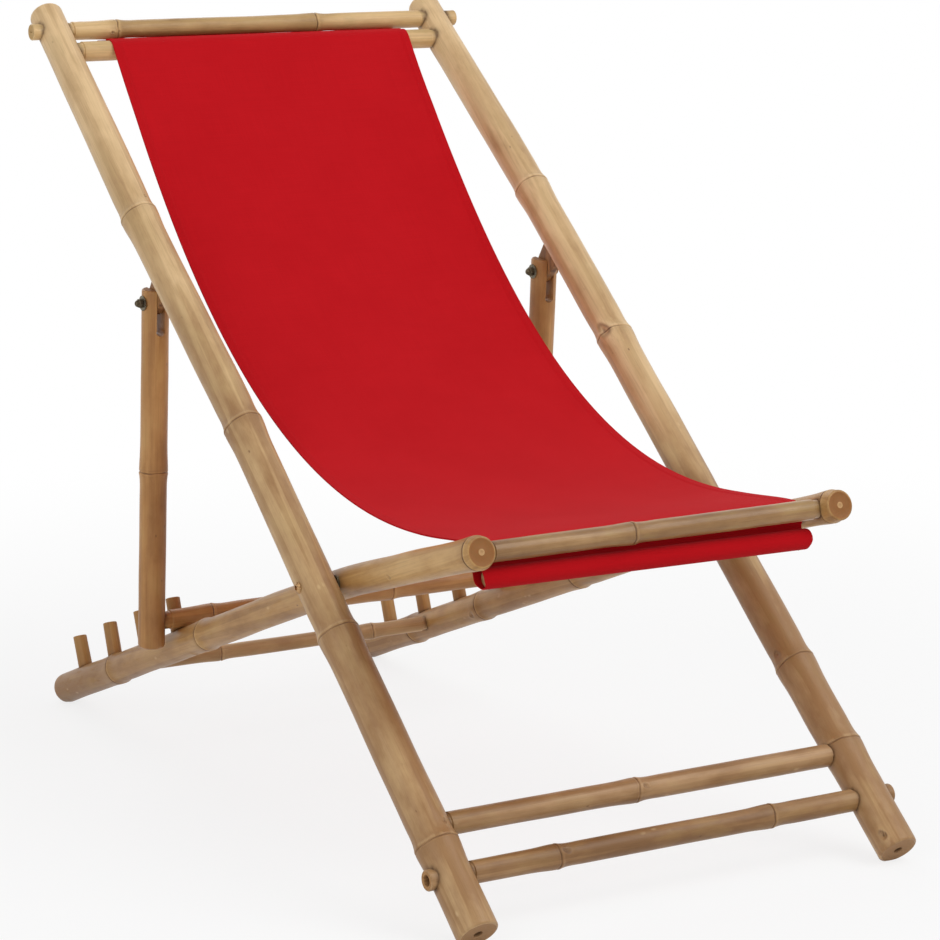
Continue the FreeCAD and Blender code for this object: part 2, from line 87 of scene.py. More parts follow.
class EndCut(Enum):
    """How a culm ends: (share of the radius, depth in millimetres) from the rim to the centre."""

    PLAIN = ((0.985, 0.0), (0.9, 0.05), (0.5, 0.1), (0.17, 0.1), (0.13, 1.2), (0.05, 1.6))
    DOMED = ((0.985, -0.1), (0.8, -0.8), (0.5, -1.5), (0.2, -1.8), (0.05, -1.9))
    KNOB = ((0.985, -0.2), (0.86, -1.2), (0.6, -2.6), (0.3, -3.3), (0.05, -3.5))
    HOLLOW = ((0.985, 0.0), (0.9, 0.0), (0.64, 0.1), (0.6, 0.8), (0.57, 9.0), (0.3, 10.5), (0.05, 11.0))
    BUTTON = ((0.985, 0.0), (0.93, 0.05), (0.9, 0.45), (0.6, 0.6), (0.27, 0.5), (0.22, 0.15), (0.14, 0.1),
              (0.1, 0.5), (0.04, 0.7))
    PITH = ((0.985, 0.0), (0.9, 0.1), (0.5, 0.3), (0.26, 0.4), (0.21, 3.0), (0.05, 4.0))


class Stain(Enum):
    """Screen colours that every bamboo or wooden piece can show in places."""

    OLIVE = (150, 126, 66)
    FIBRE = (120, 84, 46)
    SPECK = (226, 196, 150)
    PIT = (104, 70, 40)
    SCAR = (84, 52, 28)
    PITH = (226, 186, 132)
    # Painted shade, multiplied in at joints, inside cut ends and in slots.
    PAINTED_SHADE = (78, 50, 28)
    DAMP = (88, 56, 30)


def linear(red: float, green: float, blue: float) -> Triple:
    """Colour as a screen shows it, 0 to 255, turned into light values.

    Args:
        red: Screen value of red.
        green: Screen value of green.
        blue: Screen value of blue.

    Returns:
        The three values from 0 to 1 that a shader takes.
    """
    return tuple(((c / 255 + 0.055) / 1.055) ** 2.4 if c > 10 else c / 255 / 12.92
                 for c in (red, green, blue))


def hill(value: np.ndarray, centre: float, width: float | np.ndarray) -> np.ndarray:
    """Smooth hill of height one round a centre."""
    return np.exp(-((value - centre) / width) ** 2)


def ease(value: np.ndarray, low: float, high: float) -> np.ndarray:
    """Smooth step from 0 at a low value to 1 at a high one."""
    share = np.clip((value - low) / (high - low), 0.0, 1.0)
    return share ** 2 * (3.0 - 2.0 * share)


def unit(rows: np.ndarray) -> np.ndarray:
    """Rows scaled to a length of one."""
    return rows / np.linalg.norm(rows, axis=-1, keepdims=True)


class Wire:
    """Output of a shader node that takes part in sums of numbers."""

    def __init__(self, tree: "NodeTree", socket: Socket) -> None:
        """Wraps a socket of a tree."""
        self.tree = tree
        self.socket = socket

    def _sum(self, operation: str, *terms: "Wire | float") -> "Wire":
        """Adds one Math node with these inputs in order."""
        made = self.tree.node("ShaderNodeMath", {"operation": operation}, dict(enumerate(terms)))
        return Wire(self.tree, made.outputs[0])

    def __add__(self, other: "Wire | float") -> "Wire":
        """Sum with another value."""
        return self._sum("ADD", self, other)

    __radd__ = __add__

    def __mul__(self, other: "Wire | float") -> "Wire":
        """Product with another value."""
        return self._sum("MULTIPLY", self, other)

    __rmul__ = __mul__

    def __sub__(self, other: "Wire | float") -> "Wire":
        """This value less another."""
        return self._sum("SUBTRACT", self, other)

    def __rsub__(self, other: "Wire | float") -> "Wire":
        """Another value less this one."""
        return self._sum("SUBTRACT", other, self)

    def sine(self) -> "Wire":
        """Sine of this value in radians."""
        return self._sum("SINE", self)

    def larger(self, other: "Wire | float") -> "Wire":
        """The larger of this value and another."""
        return self._sum("MAXIMUM", self, other)

    def above(self, low: float, high: float) -> "Wire":
        """Smooth step of this value: 0 below low, 1 above high."""
        made = self.tree.node("ShaderNodeMapRange", {"interpolation_type": "SMOOTHSTEP"},
                              {"Value": self, "From Min": low, "From Max": high})
        return Wire(self.tree, made.outputs[0])


class NodeTree:
    """Nodes of a material or of the world."""

    def __init__(self, owner: bpy.types.Material | bpy.types.World) -> None:
        """Empties the nodes of a material or of the world."""
        owner.use_nodes = True
        self.nodes = owner.node_tree.nodes
        self.links = owner.node_tree.links
        self.nodes.clear()

    def node(self, kind: str, settings: dict[str, object], inputs: dict[str | int, object]) -> bpy.types.Node:
        """Makes one node.

        Args:
            kind: The node's type.
            settings: Its own settings, such as a Math node's operation or a ramp's stops.
            inputs: Values, wires or sockets for its inputs, by name or number.

        Returns:
            The node.
        """
        made = self.nodes.new(kind)
        for key, value in settings.items():
            if key == "stops":
                self._set_stops(made, value)
            else:
                setattr(made, key, value)
        for key, value in inputs.items():
            if isinstance(value, Wire):
                self.links.new(value.socket, made.inputs[key])
            elif isinstance(value, Socket):
                self.links.new(value, made.inputs[key])
            else:
                made.inputs[key].default_value = value
        return made

    @staticmethod
    def _set_stops(ramp: bpy.types.Node, stops: list[tuple[float, Triple]]) -> None:
        """Gives a colour ramp its stops, with screen colours."""
        elements = ramp.color_ramp.elements
        while len(elements) < len(stops):
            elements.new(0.5)
        for element, (place, colour) in zip(elements, stops):
            element.position = place
            element.color = (*linear(*colour), 1.0)

    def seen(self) -> Wire:
        """1 for rays from the camera or off shiny or clear things, else 0."""
        path = self.node("ShaderNodeLightPath", {}, {})
        camera, glossy, clear = (Wire(self, path.outputs[f"Is {kind} Ray"])
                                 for kind in ("Camera", "Glossy", "Transmission"))
        return camera.larger(glossy).larger(clear)

    def blended(self, amount: Wire, below: bpy.types.Node, above: bpy.types.Node) -> Socket:
        """Mixes two shaders, 1 giving the upper one."""
        inputs = {0: amount, 1: below.outputs[0], 2: above.outputs[0]}
        return self.node("ShaderNodeMixShader", {}, inputs).outputs[0]

    def attribute(self, name: str) -> bpy.types.Node:
        """Reader of a value that the mesh carries."""
        return self.node("ShaderNodeAttribute", {"attribute_name": name}, {})

    def own_place(self) -> Socket:
        """Place in the object's own frame."""
        return self.node("ShaderNodeTexCoord", {}, {}).outputs["Object"]

    def parts(self, vector: Socket) -> tuple[Wire, Wire, Wire]:
        """The three components of a vector."""
        split = self.node("ShaderNodeSeparateXYZ", {}, {0: vector})
        return tuple(Wire(self, output) for output in split.outputs)

    def _spread(self, vector: Socket, scale: float | Triple) -> dict[str, object]:
        """Inputs of a pattern, whose place is stretched first where three scales are given."""
        if not isinstance(scale, tuple):
            return {"Vector": vector, "Scale": scale}
        made = self.node("ShaderNodeVectorMath", {"operation": "MULTIPLY"}, {0: vector, 1: scale})
        return {"Vector": made.outputs[0], "Scale": 1.0}

    def noise(self, vector: Socket, scale: float | Triple, detail: float = 2.0,
              roughness: float = 0.5) -> Wire:
        """Cloudy value around 0.5.

        Args:
            vector: Place on the surface.
            scale: Clouds per metre, the same all ways or for each axis.
            detail: How many finer layers are added.
            roughness: How strong the finer layers are.

        Returns:
            The value.
        """
        inputs = {**self._spread(vector, scale), "Detail": detail, "Roughness": roughness}
        return Wire(self, self.node("ShaderNodeTexNoise", {}, inputs).outputs[0])

    def cells(self, vector: Socket, scale: float | Triple) -> Wire:
        """Distance to the nearest of many scattered points."""
        made = self.node("ShaderNodeTexVoronoi", {}, self._spread(vector, scale))
        return Wire(self, made.outputs["Distance"])

    def ramp(self, value: Wire, stops: list[tuple[float, Triple]]) -> Socket:
        """Colour picked along a value."""
        return self.node("ShaderNodeValToRGB", {"stops": stops}, {0: value}).outputs[0]

    def layered(self, base: Socket | Triple, *layers: tuple) -> Socket:
        """Lays colours over one another.

        Args:
            base: Lowest colour, a socket or screen values.
            layers: Each an amount from 0 to 1, a colour and, if it isn't MIX, how it is laid on.

        Returns:
            The colour of all layers together.
        """
        colour = base
        for amount, over, *blend in layers:
            over = over.value if isinstance(over, Stain) else over
            below, above = ((*linear(*c), 1.0) if isinstance(c, tuple) else c for c in (colour, over))
            settings = {"data_type": "RGBA", "blend_type": blend[0] if blend else "MIX", "clamp_factor": True}
            colour = self.node("ShaderNodeMix", settings, {0: amount, 6: below, 7: above}).outputs[2]
        return colour


class ShaderTree(NodeTree):
    """Material under construction, with one principled shader."""

    def __init__(self, name: str, fixed: dict[str, float]) -> None:
        """Starts an empty material.

        Args:
            name: Name of the material.
            fixed: Values that are the same all over the surface, by the shader's socket names.
        """
        self.material = bpy.data.materials.new(name)
        super().__init__(self.material)
        self.shader = self.node("ShaderNodeBsdfPrincipled", {}, fixed)
        self.node("ShaderNodeOutputMaterial", {}, {"Surface": self.shader.outputs[0]})

    def finish(self, colour: Socket, roughness: Wire, height: Wire,
               bump_distance: float) -> bpy.types.Material:
        """Plugs the varying values into the shader.

        Args:
            colour: Base colour.
            roughness: Roughness.
            height: Fine relief from 0 to 1.
            bump_distance: Height of that relief in metres.

        Returns:
            The finished material.
        """
        bump = self.node("ShaderNodeBump", {}, {"Height": height, "Strength": 1.0, "Distance": bump_distance})
        varying = {"Base Color": colour, "Roughness": roughness.socket, "Normal": bump.outputs[0]}
        for key, socket in varying.items():
            self.links.new(socket, self.shader.inputs[key])
        return self.material


@dataclass(frozen=True)
class BambooFinish:
    """Dried bamboo: satin skin with long fibres, facets, blotches, scars at its nodes and end grain."""

    name: str
    slot: str
    pale: Triple
    body: Triple
    brown: Triple
    cut: Triple
    olive: float = 0.12
    gloss: float = 0.36
    relief: float = 0.24 * MM

    def material(self) -> bpy.types.Material:
        """Builds the material, which reads the culm, marks and tone values of a mesh."""
        tree = ShaderTree(self.name, {"Coat Weight": 0.1, "Coat Roughness": 0.3, "Specular IOR Level": 0.3})
        place = tree.attribute("culm").outputs["Vector"]
        scar, end_grain, painted_shade = tree.parts(tree.attribute("marks").outputs["Vector"])
        tone = Wire(tree, tree.attribute("tone").outputs["Fac"])
        fibres = tree.noise(place, (520.0, 520.0, 9.0), 3.0, 0.6)
        threads = tree.noise(place, (1500.0, 1500.0, 30.0))
        blotches = tree.noise(place, (46.0, 46.0, 19.0), 4.0, 0.58)
        clouds = tree.noise(place, (22.0, 22.0, 7.0))
        facets = tree.noise(place, (75.0, 75.0, 1.7), 1.0)
        streaks = tree.noise(place, (240.0, 240.0, 5.0))
        specks = tree.cells(place, (95.0, 95.0, 50.0))
        speck_pick = tree.noise(place, (45.0, 45.0, 18.0), 1.0)
        spots = (1.0 - specks.above(0.08, 0.26)) * speck_pick.above(0.6, 0.72)
        pits = (1.0 - specks.above(0.05, 0.13)) * (1.0 - speck_pick.above(0.3, 0.4))
        rings = tree.cells(place, (1500.0, 1500.0, 160.0))
        scuffs = tree.noise(place, (120.0, 120.0, 40.0), 4.0, 0.7).above(0.5, 0.72)

        shade = tone + blotches * 0.95 + clouds * 0.75 + facets.above(0.47, 0.53) * 0.2 - 0.95
        skin = tree.layered(
            tree.ramp(shade, [(0.06, self.brown), (0.5, self.body), (0.94, self.pale)]),
            ((blotches - clouds * 0.4).above(0.32, 0.46) * self.olive, Stain.OLIVE),
            (streaks.above(0.52, 0.7) * 0.2, self.brown),
            (fibres.above(0.5, 0.75) * 0.2, self.brown),
            ((1.0 - threads.above(0.3, 0.5)) * 0.12, Stain.FIBRE, "MULTIPLY"),
            (spots * 0.4, Stain.SPECK),
            (pits * 0.6, Stain.PIT),
            (scar.above(0.0, 1.0) * 0.85, Stain.SCAR))
        grain = tree.layered(
            self.brown,
            (rings.above(0.15, 0.5) * 0.8, self.cut),
            (tree.noise(place, 260.0, 3.0).above(0.42, 0.68) * 0.4, self.brown),
            (tone.above(1.2, 1.5) * 0.5, Stain.PITH))
        # Painted shade at the joints with neighbours, inside cut ends and in the fork's slot.
        colour = tree.layered(skin, (end_grain, grain), (painted_shade * 0.75, Stain.PAINTED_SHADE, "MULTIPLY"))
        roughness = self.gloss + fibres * 0.14 + scuffs * 0.16 + end_grain * 0.3 + painted_shade * 0.2
        height = fibres * 0.4 + threads * 0.2 + streaks * 0.25 + scuffs * 0.12 - spots * 0.15 \
            - pits * 0.8 - scar * 0.4 + rings * end_grain * 0.7
        return tree.finish(colour, roughness, height, self.relief)


@dataclass(frozen=True)
class CanvasFinish:
    """Plain woven cotton canvas, dyed right through."""

    name: str
    slot: str
    dye: Triple
    deep: Triple
    yarn_pitch: float = 0.9 * MM
    fuzz_colour: Triple = (214, 60, 66)
    relief: float = 0.16 * MM

    def material(self) -> bpy.types.Material:
        """Builds the material, which reads the cloth value of a mesh: across, along, and hem tone with the
        front strip's painted shade.
        """
        tree = ShaderTree(self.name, {"Sheen Weight": 0.03, "Sheen Roughness": 0.5,
                                      "Specular IOR Level": 0.08})
        place = tree.attribute("cloth").outputs["Vector"]
        across, along, hem_and_shade = tree.parts(place)
        turn = TURN / self.yarn_pitch
        weave = (across * turn).sine() * (along * turn).sine() * 0.5 + 0.5
        slubs_along = tree.noise(place, (900.0, 14.0, 0.0))
        slubs_across = tree.noise(place, (14.0, 900.0, 0.0))
        wear = tree.noise(place, (9.0, 9.0, 0.0), 3.0, 0.6)
        fuzz = tree.noise(place, (2600.0, 2600.0, 0.0))
        colour = tree.layered(
            self.dye,
            (wear.above(0.3, 0.7) * 0.2, self.deep),
            ((slubs_along * 0.5 + slubs_across * 0.5).above(0.42, 0.62) * 0.22, self.deep),
            ((1.0 - weave) * 0.2, self.deep),
            (fuzz.above(0.55, 0.75) * 0.04, self.fuzz_colour),
            # Darker over the side hems, and painted shade over the front strip.
            (hem_and_shade * 0.4, self.deep))
        height = weave * 0.6 + slubs_along * 0.3 + slubs_across * 0.3 + fuzz * 0.15
        return tree.finish(colour, 0.82 + wear * 0.1 + fuzz * 0.06, height, self.relief)


@dataclass(frozen=True)
class PlanedWoodFinish:
    """Planed or turned hardwood with open grain and handled edges."""

    name: str
    slot: str
    light: Triple
    dark: Triple
    grain: Triple = (40.0, 60.0, 8.0)
    relief: float = 0.2 * MM

    def material(self) -> bpy.types.Material:
        """Builds the material from places in the chair's own frame."""
        tree = ShaderTree(self.name, {"Coat Weight": 0.08, "Specular IOR Level": 0.35})
        place = tree.own_place()
        bands = tree.noise(place, tuple(3.0 * g for g in self.grain), 3.0, 0.6)
        pores = tree.noise(place, tuple(26.0 * g for g in self.grain))
        stains = tree.noise(place, 22.0, 3.0)
        colour = tree.layered(
            tree.ramp(bands, [(0.32, self.dark), (0.66, self.light)]),
            (pores.above(0.55, 0.7) * 0.45, self.dark),
            (stains.above(0.5, 0.7) * 0.35, Stain.DAMP, "MULTIPLY"))
        return tree.finish(colour, 0.48 + pores * 0.2, bands * 0.4 + pores * 0.6, self.relief)


@dataclass(frozen=True)
class MetalFinish:
    """Plated steel hardware, dulled and a little spotted."""

    name: str
    slot: str
    bright: Triple
    tarnish: Triple
    roughness: float = 0.42
    relief: float = 0.08 * MM

    def material(self) -> bpy.types.Material:
        """Builds the material from places in the chair's own frame."""
        tree = ShaderTree(self.name, {"Metallic": 1.0})
        place = tree.own_place()
        patina = tree.noise(place, 420.0, 4.0, 0.6)
        scratches = tree.noise(place, (3200.0, 600.0, 900.0))
        colour = tree.layered(self.bright, (patina.above(0.45, 0.65) * 0.8, self.tarnish))
        roughness = self.roughness + patina * 0.2 + scratches * 0.12
        return tree.finish(colour, roughness, patina * 0.4 + scratches * 0.6, self.relief)


Finish = BambooFinish | CanvasFinish | PlanedWoodFinish | MetalFinish


@dataclass
class Finishes:
    """Every finish of the chair, whose materials are made once."""

    pole: Finish = BambooFinish("pale_bamboo", "pole_bamboo", (230, 196, 148), (200, 164, 117),
                                (160, 120, 78), (166, 126, 84))
    rail: Finish = BambooFinish("rail_bamboo", "rail_bamboo", (224, 188, 134), (198, 161, 108),
                                (158, 122, 74), (214, 176, 116), 0.3)
    # front, low and seat are darker, browner copies: partly the bamboo's own tone, partly painted shade of
    # the chair's lower parts.
    front: Finish = BambooFinish("front_bamboo", "rail_bamboo", (196, 158, 112), (160, 122, 78),
                                 (126, 90, 54), (160, 120, 76), 0.3, 0.22)
    low: Finish = BambooFinish("low_bamboo", "rail_bamboo", (190, 152, 110), (158, 119, 77),
                               (128, 91, 54), (196, 146, 92))
    seat: Finish = BambooFinish("seat_bamboo", "pole_bamboo", (210, 170, 114), (184, 141, 86),
                                (148, 105, 56), (158, 100, 52))
    strut: Finish = BambooFinish("strut_bamboo", "strut_bamboo", (204, 156, 98), (180, 130, 76),
                                 (144, 96, 50), (150, 106, 64))
    rear: Finish = BambooFinish("rear_bamboo", "strut_bamboo", (204, 166, 116), (176, 138, 92),
                                (142, 104, 64), (150, 106, 64))
    peg: Finish = BambooFinish("peg_bamboo", "peg_bamboo", (204, 156, 98), (176, 130, 76),
                               (142, 100, 54), (152, 108, 62), 0.2, 0.46)
    canvas: Finish = CanvasFinish("red_canvas", "red_canvas", (200, 18, 28), (176, 8, 18))
    thread: Finish = CanvasFinish("red_thread", "red_canvas", (186, 18, 28), (146, 6, 16), 0.5 * MM)
    lug: Finish = PlanedWoodFinish("lug_wood", "lug_wood", (166, 118, 70), (104, 66, 34))
    dowel: Finish = PlanedWoodFinish("dowel_wood", "dowel_wood", (206, 172, 124), (160, 120, 76),
                                     (6.0, 60.0, 60.0))
    brass: Finish = MetalFinish("dull_brass", "brass_bolt", (190, 152, 108), (96, 70, 44), 0.34)
    zinc: Finish = MetalFinish("grey_zinc", "zinc_steel", (134, 126, 108), (84, 76, 62))
    nut: Finish = MetalFinish("dark_steel", "zinc_steel", (104, 94, 76), (58, 50, 40))
    made: dict[str, bpy.types.Material] = field(default_factory=dict)

    def of(self, finish: Finish) -> bpy.types.Material:
        """The material of a finish, made when it is first asked for."""
        if finish.name not in self.made:
            self.made[finish.name] = finish.material()
        return self.made[finish.name]


FINISHES = Finishes()


def placed(name: str, data: bpy.types.ID) -> bpy.types.Object:
    """Object that shows a mesh, lamp or camera, put into the scene."""
    shown = bpy.data.objects.new(name, data)
    bpy.context.scene.collection.objects.link(shown)
    return shown


def shade(mesh: bpy.types.Mesh, crease: float) -> None:
    """Shades a mesh smooth, but for edges sharper than a crease in degrees."""
    mesh.shade_smooth()
    mesh.set_sharp_from_angle(angle=math.radians(crease))


def mesh_object(name: str, vertices: np.ndarray, faces: list[tuple[int, ...]],
                crease: float = 42.0) -> bpy.types.Object:
    """Object from plain lists of corners and faces, shaded smooth up to a crease.

    Args:
        name: Name of the piece.
        vertices: One row of three metres for each corner.
        faces: Corner numbers of each face.
        crease: Angle in degrees above which an edge stays sharp.

    Returns:
        The object, in the scene.
    """
    mesh = bpy.data.meshes.new(name)
    mesh.from_pydata([tuple(v) for v in vertices], [], faces)
    work = bmesh.new()
    work.from_mesh(mesh)
    bmesh.ops.recalc_face_normals(work, faces=work.faces)
    work.to_mesh(mesh)
    work.free()
    shade(mesh, crease)
    return placed(name, mesh)


def store(mesh: bpy.types.Mesh, name: str, values: np.ndarray) -> None:
    """Stores a number, or a row of three, for each corner of a mesh."""
    values = np.asarray(values, np.float32)
    kind, key = ("FLOAT", "value") if values.ndim == 1 else ("FLOAT_VECTOR", "vector")
    layer = mesh.attributes.get(name) or mesh.attributes.new(name, kind, "POINT")
    layer.data.foreach_set(key, values.ravel())


def corners_of(mesh: bpy.types.Mesh) -> np.ndarray:
    """The corners of a mesh as rows of three metres."""
    flat = np.empty(len(mesh.vertices) * 3, np.float32)
    mesh.vertices.foreach_get("co", flat)
    return flat.reshape(-1, 3).astype(float)


def dress(piece: bpy.types.Object, finish: Finish, body: Body | None, nodes: tuple[str, ...]) -> None:
    """Gives a piece its material, its body and the nodes that it stands for.

    Args:
        piece: The piece.
        finish: One of the finishes.
        body: Body that it rides on, or None for a piece that bends between two.
        nodes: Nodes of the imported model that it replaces.
    """
    piece.data.materials.clear()
    piece.data.materials.append(FINISHES.of(finish))
    if body is not None:
        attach(piece, body.value)
    if nodes:
        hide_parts(*nodes)
    LOG.info("%s: %d corners, on %s", piece.name, len(piece.data.vertices), body)


def joined(pieces: list[bpy.types.Object], name: str) -> bpy.types.Object:
    """Joins pieces that share a body and a material into one piece of a new name."""
    for other in bpy.context.selected_objects:
        other.select_set(False)
    for piece in pieces:
        piece.select_set(True)
    bpy.context.view_layer.objects.active = pieces[0]
    bpy.ops.object.join()
    pieces[0].name = name
    pieces[0].data.name = name
    return pieces[0]


def ring_faces(rings: int, around: int) -> list[tuple[int, ...]]:
    """Faces of a tube of rings, closed by a fan point at each end.

    The corners are the rings one after another, then the first and the last fan point.
    """
    faces = []
    for ring in range(rings - 1):
        low, high = ring * around, (ring + 1) * around
        for k in range(around):
            after = (k + 1) % around
            faces.append((low + k, low + after, high + after, high + k))
    first, last = rings * around, rings * around + 1
    top = (rings - 1) * around
    for k in range(around):
        after = (k + 1) % around
        faces += [(first, after, k), (last, top + k, top + after)]
    return faces


def prism(name: str, outline: Points, sweep: Vector) -> bpy.types.Object:
    """Flat outline pushed along a vector into a closed solid."""
    count = len(outline)
    vertices = np.array([tuple(p) for p in outline] + [tuple(p + sweep) for p in outline])
    faces = [tuple(range(count)), tuple(range(2 * count - 1, count - 1, -1))]
    faces += [(k, (k + 1) % count, count + (k + 1) % count, count + k) for k in range(count)]
    return mesh_object(name, vertices, faces, 30.0)


def lathe(name: str, profile: list[tuple[float, float]], start: Vector, direction: Vector,
          around: int = 40) -> bpy.types.Object:
    """Solid of revolution.

    Args:
        name: Name of the piece.
        profile: (distance along the axis, radius) pairs.
        start: Where the axis starts.
        direction: Where it goes.
        around: Corners in each ring.

    Returns:
        The closed solid.
    """
    along = direction.normalized()
    side = along.orthogonal().normalized()
    up = along.cross(side)
    turns = [TURN * k / around for k in range(around)]
    rings = [start + along * distance + (side * math.cos(turn) + up * math.sin(turn)) * radius
             for distance, radius in profile for turn in turns]
    rings += [start + along * profile[end][0] for end in (0, -1)]
    return mesh_object(name, np.array([tuple(p) for p in rings]), ring_faces(len(profile), around), 35.0)


def apply_modifiers(piece: bpy.types.Object, crease: float) -> None:
    """Turns what the modifiers show into the mesh itself, and shades it smooth up to a crease."""
    bpy.context.view_layer.update()
    mesh = bpy.data.meshes.new_from_object(piece.evaluated_get(bpy.context.evaluated_depsgraph_get()))
    piece.modifiers.clear()
    piece.data = mesh
    mesh.name = piece.name
    shade(mesh, crease)


def carve(piece: bpy.types.Object, cutters: list[bpy.types.Object]) -> None:
    """Cuts solids out of a piece and removes them."""
    for cutter in cutters:
        cut = piece.modifiers.new("cut", "BOOLEAN")
        cut.operation = "DIFFERENCE"
        cut.solver = "EXACT"
        cut.object = cutter
    apply_modifiers(piece, 42.0)
    for cutter in cutters:
        bpy.data.objects.remove(cutter)


def soften(piece: bpy.types.Object, width: float) -> None:
    """Rounds the sharp edges of a piece."""
    bevel = piece.modifiers.new("bevel", "BEVEL")
    bevel.width = width
    bevel.segments = 3
    bevel.limit_method = "ANGLE"
    bevel.angle_limit = math.radians(35.0)
    apply_modifiers(piece, 50.0)


@dataclass(frozen=True)
class Line:
    """Straight round neighbour that leaves painted shade at its joint on a culm, reaching half both ways."""

    point: Vector
    direction: Vector
    radius: float
    half: float = 10.0
    width: float = 1.3 * MM

    def shade(self, places: np.ndarray) -> np.ndarray:
        """How much painted shade the joint puts on each place, from 0 to 1."""
        away = places - np.array(self.point)
        along = np.array(self.direction.normalized())
        stations = away @ along
        skin = np.linalg.norm(away - np.outer(stations, along), axis=1) - self.radius
        beyond = np.maximum(np.abs(stations) - self.half, 0.0)
        return np.exp(-np.hypot(np.maximum(skin, 0.0), beyond) / self.width)


@dataclass(frozen=True)
class Bud:
    """Scar where a twig grew: station, angle around the culm in degrees, radius, depth, darkness.

    Station, radius and depth are in millimetres.
    """

    station: float
    angle: float
    radius: float = 4.0
    depth: float = 0.8
    dark: float = 0.8


@dataclass(frozen=True)
class Habit:
    """How one culm grew.

    rings are the stations of its nodes in millimetres and buds its twig scars, both counted from the
    culm's origin. shades gives its paleness at distances in metres from its start. bow gives how far
    its line lies off a straight one, at stations, in millimetres.
    """

    rings: tuple[float, ...] = ()
    buds: tuple[Bud, ...] = ()
    shades: Rows = ((0.0, 0.5),)
    bow: Rows = ()


